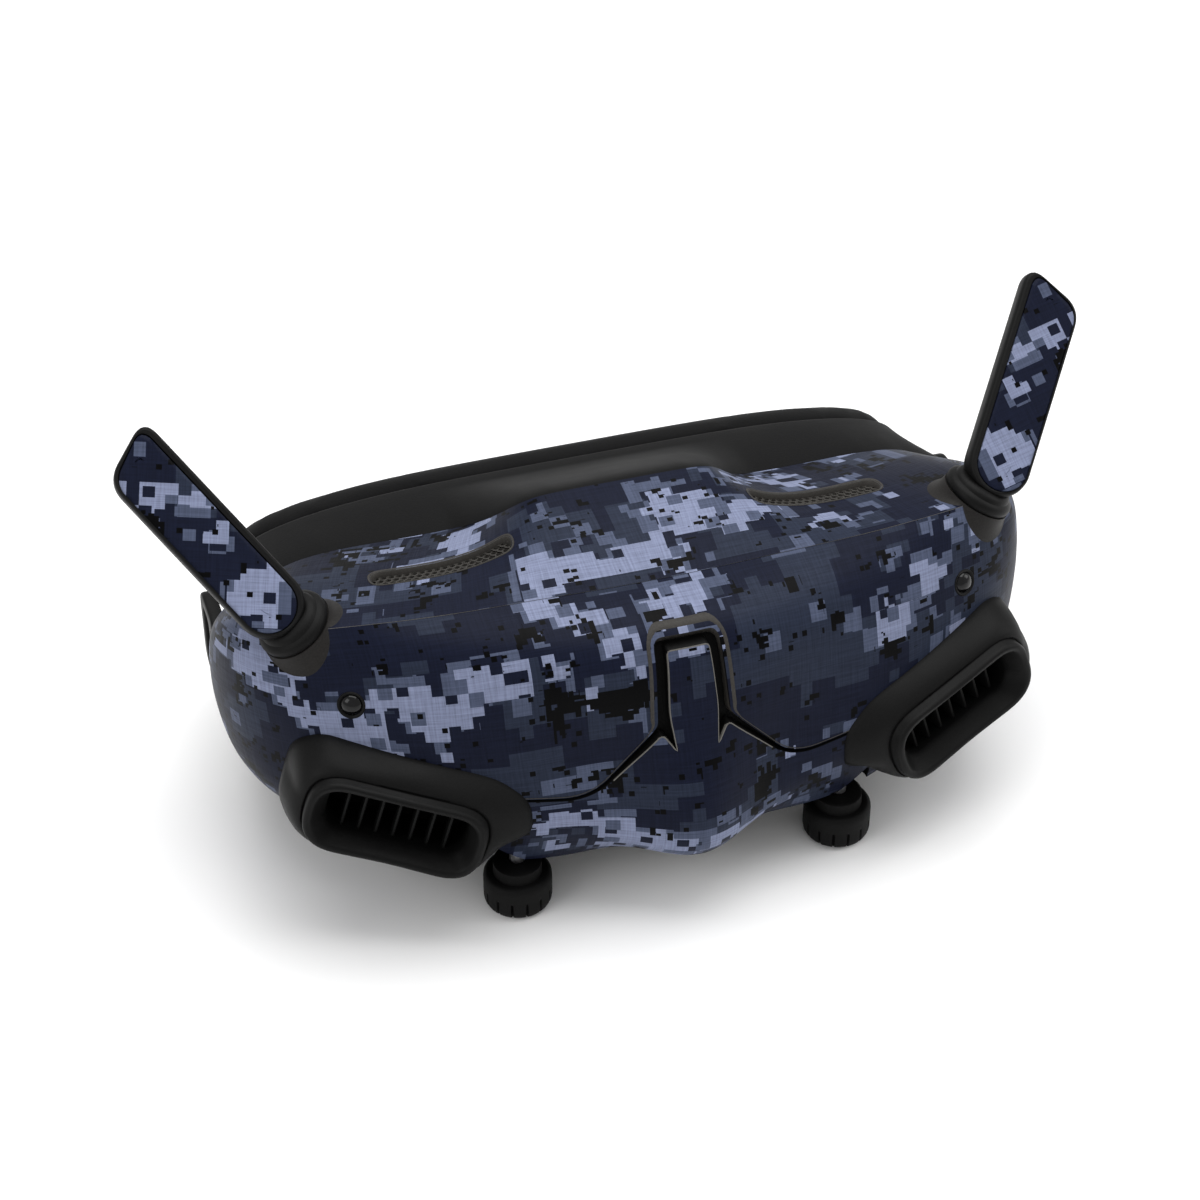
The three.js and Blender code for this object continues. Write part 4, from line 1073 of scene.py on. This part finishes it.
def blade_plate(name):
    count = 200
    rings = []
    for inset, z in ((1.22, -0.65), (1.22, -0.2), (1.3, -0.1), (2.0, -0.08), (3.2, -0.08), (5.0, -0.08)):
        rings.append(in_blade(blade_outline(inset, 0.5, count), z))
    obj = loft(name, rings, BLADE_SKIN, flip=False, sharp=50)
    layer = obj.data.uv_layers.new(name="UVMap")
    for loop in obj.data.loops:
        p = np.array(obj.data.vertices[loop.vertex_index].co) * 1000 + (0.0, MID_Y, FLOOR_Z) - BLADE_BASE
        layer.data[loop.index].uv = (np.dot(p, BLADE_SIDE) * 0.001, np.dot(p, BLADE_ALONG) * 0.001)
    return obj


def antenna_collar(name):
    disc = lathe("disc", [(0, -0.6), (7.05, -0.6), (7.25, -0.2), (7.3, 0.5), (7.1, 1.1), (6.6, 1.5),
                          (6.2, 1.7),
                          (6.05, 2.1), (5.7, 2.6), (4.6, 3.0), (0, 3.1)], COLLAR, BOSS_AXIS, BLACK, 96)
    foot = COLLAR + BOSS_AXIS * 0.4
    foot = foot + (PIVOT - foot) * 0.35
    stalk = PIVOT - foot
    length = float(np.linalg.norm(stalk))
    ear = lathe("ear", [(3.4, -2.0), (2.6, 0.0), (2.0, 2.0), (1.8, length)], foot, stalk, BLACK, 40)
    eye = lathe("eye", [(0, -2.0), (1.75, -2.0), (2.05, -1.75), (2.05, 1.75), (1.75, 2.0), (0, 2.0)], PIVOT,
                FOLD_AXIS,
                BLACK, 40)
    return join(name, [disc, ear, eye])


def antenna_boss(name):
    """The flared foot runs out on to the casing."""
    frame_of = basis(COLLAR, (1, 0, 0), BOSS_AXIS)
    n = 120
    angles = np.arange(n) * 2 * math.pi / n
    ring = lambda r, h: in_basis(frame_of, r * np.cos(angles), r * np.sin(angles), np.full(n, h))
    top = ring(7.35, -0.7)
    foot = []
    for p in ring(9.5, 12.0):
        hit = cast(p, -BOSS_AXIS, -0.25)
        foot.append(hit)
    heights = np.array([np.nan if p is None else np.dot(p - COLLAR, BOSS_AXIS) for p in foot])
    low = np.where(np.isnan(heights) | (heights < -11), -11.0, heights)
    for _ in range(4):
        low = 0.25 * np.roll(low, 1) + 0.5 * low + 0.25 * np.roll(low, -1)
    base = in_basis(frame_of, 9.5 * np.cos(angles), 9.5 * np.sin(angles), low)
    base = np.array([b if h is None or np.dot(h - COLLAR, BOSS_AXIS) < -11 else h for b,
                     h in zip(base, foot)])
    axial = lambda ps: np.array([np.dot(p - COLLAR, BOSS_AXIS) for p in ps])
    depth = axial(base)
    rings = [in_basis(frame_of, 4 * np.cos(angles), 4 * np.sin(angles), np.full(n, -0.75)),
             ring(7.2, -0.72), top]
    for t in (0.15, 0.35, 0.55, 0.75, 0.9):
        r = 7.35 + (9.5 - 7.35) * t ** 2.2
        h = -0.7 + (depth + 0.7) * t
        rings.append(in_basis(frame_of, r * np.cos(angles), r * np.sin(angles), h))
    rings += [base, base - BOSS_AXIS * 3]
    return loft(name, rings[::-1], GREY, caps=(False, False), flip=True, sharp=60)


# ---------- top cover and its slots ----------
SLOT_FROM, SLOT_TO = np.array((24.4, 21.2, 13.0)), np.array((52.4, 22.8, 10.0))
SLOT_W = 5.8
SLOT_L = float(np.linalg.norm(SLOT_TO - SLOT_FROM))
SLOT_FRAME = basis(SLOT_FROM, SLOT_TO - SLOT_FROM, (0.1, 0.22, 0.97))


def slot_outline(grow):
    h = SLOT_W / 2 + grow
    return rounded([(-grow, -h), (SLOT_L + grow, -h), (SLOT_L + grow, h), (-grow, h)], h * 1.3, 12)


def make_top():
    uvs = arc_lengths(TOP)
    uvs[:, :, 1] -= uvs[-1:, :, 1] + 2.0
    top = shell("top_skin", TOP, TOP_N, WALL, SKIN, uvs, lift=0.12)
    for s in (1, -1):
        cut = prism_in("slot_cut", SLOT_FRAME, slot_outline(0.0), -14, 14)
        if s < 0:
            cut = swap_for_mirror(cut)
        boolean(top, cut)
    dress_shell(top, TOP_DATA, EDGE)
    dress(top, "housing", "top_cover")


def slot_tray(name):
    """The sunk tray, its bevelled lip and the honeycomb mesh on its bed."""
    n = 96
    rings = []
    for grow, z in ((0.55, 0.0), (0.42, 0.28), (0.15, 0.25), (-0.1, -0.15), (-0.25, -1.0), (-0.3, -2.6),
                    (-0.3, -4.2)):
        xy = resample(slot_outline(grow), n)
        ring = in_basis(SLOT_FRAME, xy[:, 0], xy[:, 1], np.full(n, 0.0))
        fitted = []
        for p in ring:
            hit = cast(p + SLOT_FRAME[3] * 12, -SLOT_FRAME[3], 0.0)
            fitted.append(hit + SLOT_FRAME[3] * z)
        rings.append(np.array(fitted))
    tray = loft("tray", rings, LIP, caps=(False, True), flip=False, sharp=60)
    pitch, hole, thick = 1.5, 0.56, 0.5
    verts, faces = [], []
    rows = int(SLOT_W / (pitch * 0.866)) + 2
    cols = int(SLOT_L / pitch) + 3
    for r in range(rows):
        for c in range(cols):
            cx = (c - 0.5 * (r % 2)) * pitch
            cy = (r - rows / 2 + 0.5) * pitch * 0.866
            if not (-1.6 < cx < SLOT_L + 1.6) or abs(cy) > SLOT_W / 2 + 0.6:
                continue
            middle = in_basis(SLOT_FRAME, [cx], [cy], [0.0])[0]
            hit = cast(middle + SLOT_FRAME[3] * 12, -SLOT_FRAME[3], 0.0)
            if hit is None:
                continue
            base = float(np.dot(hit - SLOT_FRAME[0], SLOT_FRAME[3])) - 1.0
            start = len(verts)
            for radius, z in ((pitch * 0.58, -0.12), (hole, 0.0), (hole * 0.9, -thick)):
                for k in range(6):
                    a = math.radians(60 * k + 30)
                    verts.append(in_basis(SLOT_FRAME, [cx + radius * math.cos(a)],
                                          [cy + radius * math.sin(a)],
                                          [base + z])[0])
            for ring in range(2):
                for k in range(6):
                    a, b = start + ring * 6 + k, start + ring * 6 + (k + 1) % 6
                    faces.append((a, b, b + 6, a + 6))
    mesh = mesh_object("mesh", verts, faces, LIP, sharp=30)
    return join(name, [tray, mesh])


# ---------- eye shield, foam, brow ----------
# Rings round the face opening: half width, top, bottom, top y, bottom y, nose notch, side sweep, squareness.
SHIELD = [(78.9, 4.1, -37.5, 41.7, 41.7, 4, 0, 5.0), (76.7, 5.2, -41.5, 47, 46.4, 10, 2, 4.3),
          (74.8, 5.7, -46.4, 52.5, 53, 17, 4.5, 4.0), (74.0, 5.0, -48.8, 57, 60, 22, 6, 4)]
RIM = SHIELD[-1]


def thinner(ring, t):
    return (ring[0] - t, ring[1] - t, ring[2] + t, *ring[3:])


def face_ring(ring, count=280):
    half, top, bottom, top_y, bottom_y, notch, sweep, square = ring
    middle, reach = (top + bottom) / 2, (top - bottom) / 2
    points = []
    for i in range(4 * count):
        a = 2 * math.pi * (i + 0.5) / (4 * count)
        c, s = math.cos(a), math.sin(a)
        x = half * math.copysign(abs(c) ** (2 / square), c)
        z = middle + reach * math.copysign(abs(s) ** (2 / square), s)
        low = (top - z) / (top - bottom)
        if s < 0:
            z += notch * math.exp(-((x / 19) ** 2)) * min(1, 2 * low - 1)
        points.append((x, top_y + (bottom_y - top_y) * low + sweep * (x / half) ** 4 * math.sin(math.pi * low), z))
    return even(np.array(points), count)


def spline_rings(rings, count):
    rings = np.asarray(rings, float)
    w = spline_matrix(np.arange(len(rings), dtype=float), np.linspace(0, len(rings) - 1, count))
    return list(np.einsum("ri,ikc->rkc", w, rings))


def even(ring, count):
    """The same ring with evenly spaced points, starting from the same side."""
    loop = np.vstack([ring, ring[:1]])
    s = np.concatenate([[0], np.cumsum(np.linalg.norm(np.diff(loop, axis=0), axis=1))])
    t = np.linspace(0, s[-1], count, endpoint=False)
    return np.stack([np.interp(t, s, loop[:, k]) for k in range(3)], axis=1)


def ease(t):
    t = np.clip(t, 0, 1)
    return t * t * (3 - 2 * t)


def reach_hump(rings):
    """Draws the shield's upper front edge forward, up to the rear edge of the top cover's hump."""
    first = rings[0]
    across = np.abs(first[:, 0])
    rear_y = np.interp(across, TOP_REAR[:, 0], TOP_REAR[:, 1]) + 0.35
    rear_z = np.interp(across, TOP_REAR[:, 0], TOP_REAR[:, 2]) - 0.35
    pull = np.stack([np.zeros(len(first)), rear_y - first[:, 1], rear_z - first[:, 2]], axis=1)
    share = ease((first[:, 2] - (SHIELD[0][1] - 3.5)) / 3.0) * ease((72 - across) / 8)
    out = []
    for k, ring in enumerate(rings):
        fade = 1 - ease(k / (0.78 * (len(rings) - 1)))
        out.append(ring + pull * (share * fade)[:, None])
    return out


def make_shield():
    outer = reach_hump(spline_rings([face_ring(r) for r in SHIELD], 30))
    lip = [face_ring(thinner(RIM, 0.35)) + (0, 0.55, 0), face_ring(thinner(RIM, 1.0)) + (0, 0.75, 0),
           face_ring(thinner(RIM, 1.65)) + (0, 0.5, 0)]
    inner = spline_rings([face_ring(thinner(r, WALL)) for r in SHIELD], 12)[::-1]
    shield = loft("eye_shield_skin", outer + lip + inner + [outer[0]], SOFT_BLACK, caps=(False, False),
                  flip=False,
                  sharp=70)
    dress(shield, "housing", ["eye_shield", "brow_bridge"])


def foam_ring(shrink, back):
    half, top, bottom, top_y, bottom_y, *shape = thinner(RIM, shrink)
    return face_ring((half, top, bottom, top_y + back, bottom_y + back, *shape))


def make_foam():
    """The pad starts as a plain ring and is puffed up by a short cloth simulation."""
    profile = [(1.0, 0.6), (0.9, 2.6), (1.0, 4.9), (1.7, 7.6), (3.4, 9.5), (5.8, 10.3), (8.2, 9.4),
               (9.8, 7.2), (10.4, 4.6),
               (10.2, 2.4), (9.0, 0.7)]
    rings = [foam_ring(s, b) for s, b in profile]
    foam = loft("face_foam_pad", rings + [rings[0]], FOAM, caps=(False, False), flip=False, sharp=None)
    fix_outward(foam)
    puff(foam, 0.0022, 2.5, 0.0008)
    dress(foam, "housing", "face_foam")


def puff(obj, voxel, pressure, cap):
    remesh = obj.modifiers.new("remesh", "REMESH")
    remesh.mode = "VOXEL"
    remesh.voxel_size = voxel
    evaluated(obj)
    start = np.empty(len(obj.data.vertices) * 3)
    obj.data.vertices.foreach_get("co", start)
    cloth = obj.modifiers.new("cloth", "CLOTH")
    cloth.settings.use_pressure = True
    cloth.settings.uniform_pressure_force = pressure
    cloth.settings.quality = 5
    cloth.settings.effector_weights.gravity = 0
    scene = bpy.context.scene
    for step in range(1, 15):
        scene.frame_set(step)
    graph = bpy.context.evaluated_depsgraph_get()
    posed = obj.evaluated_get(graph).to_mesh()
    moved = np.empty(len(posed.vertices) * 3)
    posed.vertices.foreach_get("co", moved)
    obj.evaluated_get(graph).to_mesh_clear()
    obj.modifiers.clear()
    scene.frame_set(1)
    start, moved = start.reshape(-1, 3), moved.reshape(-1, 3)
    shift = moved - start
    length = np.linalg.norm(shift, axis=1, keepdims=True)
    shift *= np.minimum(1, cap / np.maximum(length, 1e-9))
    obj.data.vertices.foreach_set("co", (start + shift).ravel())
    smooth = obj.modifiers.new("smooth", "SUBSURF")
    smooth.levels = smooth.render_levels = 1
    evaluated(obj)
    obj.data.polygons.foreach_set("use_smooth", [True] * len(obj.data.polygons))


# ---------- knobs ----------


def knob(name):
    """Smooth upper wall, notched lower half, and a rounded lower edge."""
    notches = 14

    def wobble(angle, r, h):
        if r < KNOB_R - 0.9 or h > 4.6:
            return r
        phase = (angle * notches / (2 * math.pi)) % 1.0
        near = max(0.0, 1 - abs(phase - 0.5) / 0.09)
        fade = min(1.0, max(0.0, (4.5 - h) / 0.5))
        return r - 0.55 * min(1.0, near * 1.6) * fade

    profile = [(0, 0), (3.6, 0.0), (5.2, 0.05), (5.9, 0.3), (6.4, 0.75), (6.7, 1.35), (6.8, 2.0),
               (6.8, 2.6), (6.8, 3.2),
               (6.8, 3.8), (6.8, 4.1), (6.8, 4.4), (6.8, 4.7), (6.8, 5.2), (6.8, 6.4), (6.72, 7.2),
               (6.4, 7.75), (5.9, 8.0),
               (4.9, 8.0), (4.8, 8.2), (4.8, 10.4), (4.5, 10.6), (0, 10.6)]
    return lathe(name, profile, (EYE_X, KNOB_Y, FLOOR_Z), (0, 0, 1), KNOB_BLACK, 280, wobble, sharp=38)


# ---------- eyepieces ----------
def barrel(name):
    a, b = BARREL_Y
    r, bore = BARREL_R, 13.2
    profile = [(bore, a + 0.2), (bore + 0.2, a), (r - 0.2, a), (r, a + 0.2), (r, b - 1.2),
               (r - 0.3, b - 0.4), (r - 0.8, b),
               (bore + 0.4, b), (bore + 0.1, b - 0.3), (bore, b - 0.8), (bore, b - 4), (bore, b - 12),
               (bore, a + 6),
               (bore, a + 0.2)]
    return lathe(name, profile, (EYE_X, 0, EYE_Z), (0, 1, 0), BLACK, 96)


def cell(name):
    outer, inner = 12.85, 11.85
    y0 = LENS_Y - 4.4
    profile = [(inner, y0), (outer, y0), (outer, y0 + 8.2), (outer - 0.2, y0 + 8.7), (inner + 0.6, y0 + 8.8),
               (inner + 0.3, y0 + 8.5), (inner + 0.25, y0 + 6.6), (inner, y0 + 6.4), (inner, y0)]
    return lathe(name, profile, (EYE_X, 0, EYE_Z), (0, 1, 0), BLACK, 96)


def lens(name):
    r = 11.55
    half = [(r * s, 3.6 - 2.5 * s * s) for s in np.linspace(0, 1, 16)]
    profile = [(x, -h) for x, h in half] + [(x, h) for x, h in half[::-1]]
    return lathe(name, profile, (EYE_X, LENS_Y, EYE_Z), (0, 1, 0), GLASS, 96)


# ---------- headband lugs ----------
def lug(name):
    """A plate with a slot, its edges rounded over."""
    outline = rounded([(42.4, -28), (56, -28), (56, -9), (42.4, -9)], [2.0, 4.5, 4.5, 2.0], 10)
    hole = rounded([(47.2, -24.8), (53.2, -24.8), (53.2, -12.2), (47.2, -12.2)], 2.0, 10)
    n = 120
    outer, inner = resample(outline, n), resample(hole, n)
    middle = outline.mean(axis=0)
    turn = lambda ring: ring[np.argsort(np.arctan2(ring[:, 1] - middle[1], ring[:, 0] - middle[0]))]
    outer, inner = turn(outer), turn(inner)
    ring = lambda xy, x: np.stack([np.full(n, x), xy[:, 0], xy[:, 1]], axis=1)
    shrink = lambda xy, t: middle + (xy - middle) * t
    rings = [ring(shrink(outer, 0.97), 78.3), ring(outer, 78.7), ring(outer, 80.6),
             ring(shrink(outer, 0.985), 81.0),
             ring(shrink(outer, 0.96), 81.15), ring(shrink(inner, 1.08), 81.15), ring(shrink(inner, 1.02),
                                                                                      80.95),
             ring(inner, 80.6), ring(inner, 78.7), ring(shrink(inner, 1.06), 78.3)]
    obj = loft(name, rings + [rings[0]], BLACK, caps=(False, False), sharp=60)
    fix_outward(obj)
    return obj


# ---------- plate round the eyepieces ----------
def make_plate():
    ring = face_ring(thinner(SHIELD[0], 4.4), 180)
    outline = np.stack([ring[:, 0], ring[:, 2]], axis=1)
    plate = prism_y("eyepiece_plate_skin", outline, BULKHEAD_Y, BULKHEAD_Y + 2)
    plate.data.materials.append(SOFT_BLACK)
    hole = BARREL_R + 0.5
    for s in (1, -1):
        w, h = 2 * (hole + 4), 2 * hole
        slot = rounded([(s * EYE_X - w / 2, EYE_Z - h / 2), (s * EYE_X + w / 2, EYE_Z - h / 2),
                        (s * EYE_X + w / 2, EYE_Z + h / 2), (s * EYE_X - w / 2, EYE_Z + h / 2)], 20, 24)
        boolean(plate, prism_y("slot", slot, BULKHEAD_Y - 5, BULKHEAD_Y + 8))
    rim = plate.modifiers.new("rim", "BEVEL")
    rim.width, rim.segments, rim.limit_method = 0.0004, 3, "ANGLE"
    evaluated(plate)
    plate.data.polygons.foreach_set("use_smooth", [True] * len(plate.data.polygons))
    plate.data.set_sharp_from_angle(angle=math.radians(50))
    dress(plate, "housing", "eyepiece_plate")


FINISHES = {
    "printed_skin": SKIN, "black_plastic": DARK, "grey_plastic": GREY, "gloss_black": GLOSS,
    "lens_glass": GLASS,
    "face_foam": FOAM, "steel": STEEL, "aluminium": ALUMINIUM, "circuit_board": BOARD,
}
SHOWN_BLACK = ("bottom_cover", "link_button", "eyepiece_carriage", "foam_frame", "fan_frame", "fan_rotor")


def finish_cad_nodes():
    for part in frame["record"]["subparts"]:
        node_name, slot = part["node"], part["material_slot"]
        material = FINISHES[slot]
        if slot == "black_plastic" and node_name.startswith(SHOWN_BLACK):
            material = BLACK
        mesh = frame["nodes"][node_name].data
        mesh.materials.clear()
        mesh.materials.append(material)


TOP_DATA = (bvh_of([TOP + TOP_N * 0.12])[0], *bvh_of([TOP])[1:], TOP_N.reshape(-1, 3))

finish_cad_nodes()
make_stage()
make_front()
make_floor_seam()
make_top()
pair(sensor, "housing", "front_sensor_window", "sensor_eye")
pair(vent, "housing", "exhaust_vent", "vent_snout")
pair(louvre, "housing", "vent_louvre", "vent_slats")
pair(antenna_boss, "housing", "antenna_boss", "boss_foot")
pair(antenna_collar, "housing", "antenna_collar", "collar_ring")
pair(antenna_blade, "antenna", "antenna_blade", "blade_body")
pair(blade_plate, "antenna", "antenna_faceplate", "blade_film")
pair(slot_tray, "housing", "intake_grille", "intake_mesh")
pair(knob, "knob", "focus_knob", "focus_dial")
pair(barrel, "eyepiece", "eyepiece_barrel", "barrel_tube")
pair(cell, "lens", "lens_cell", "cell_ring")
pair(lens, "lens", "eyepiece_lens", "lens_element")
pair(lug, "housing", "headband_lug", "strap_lug")
make_plate()
make_shield()
make_foam()
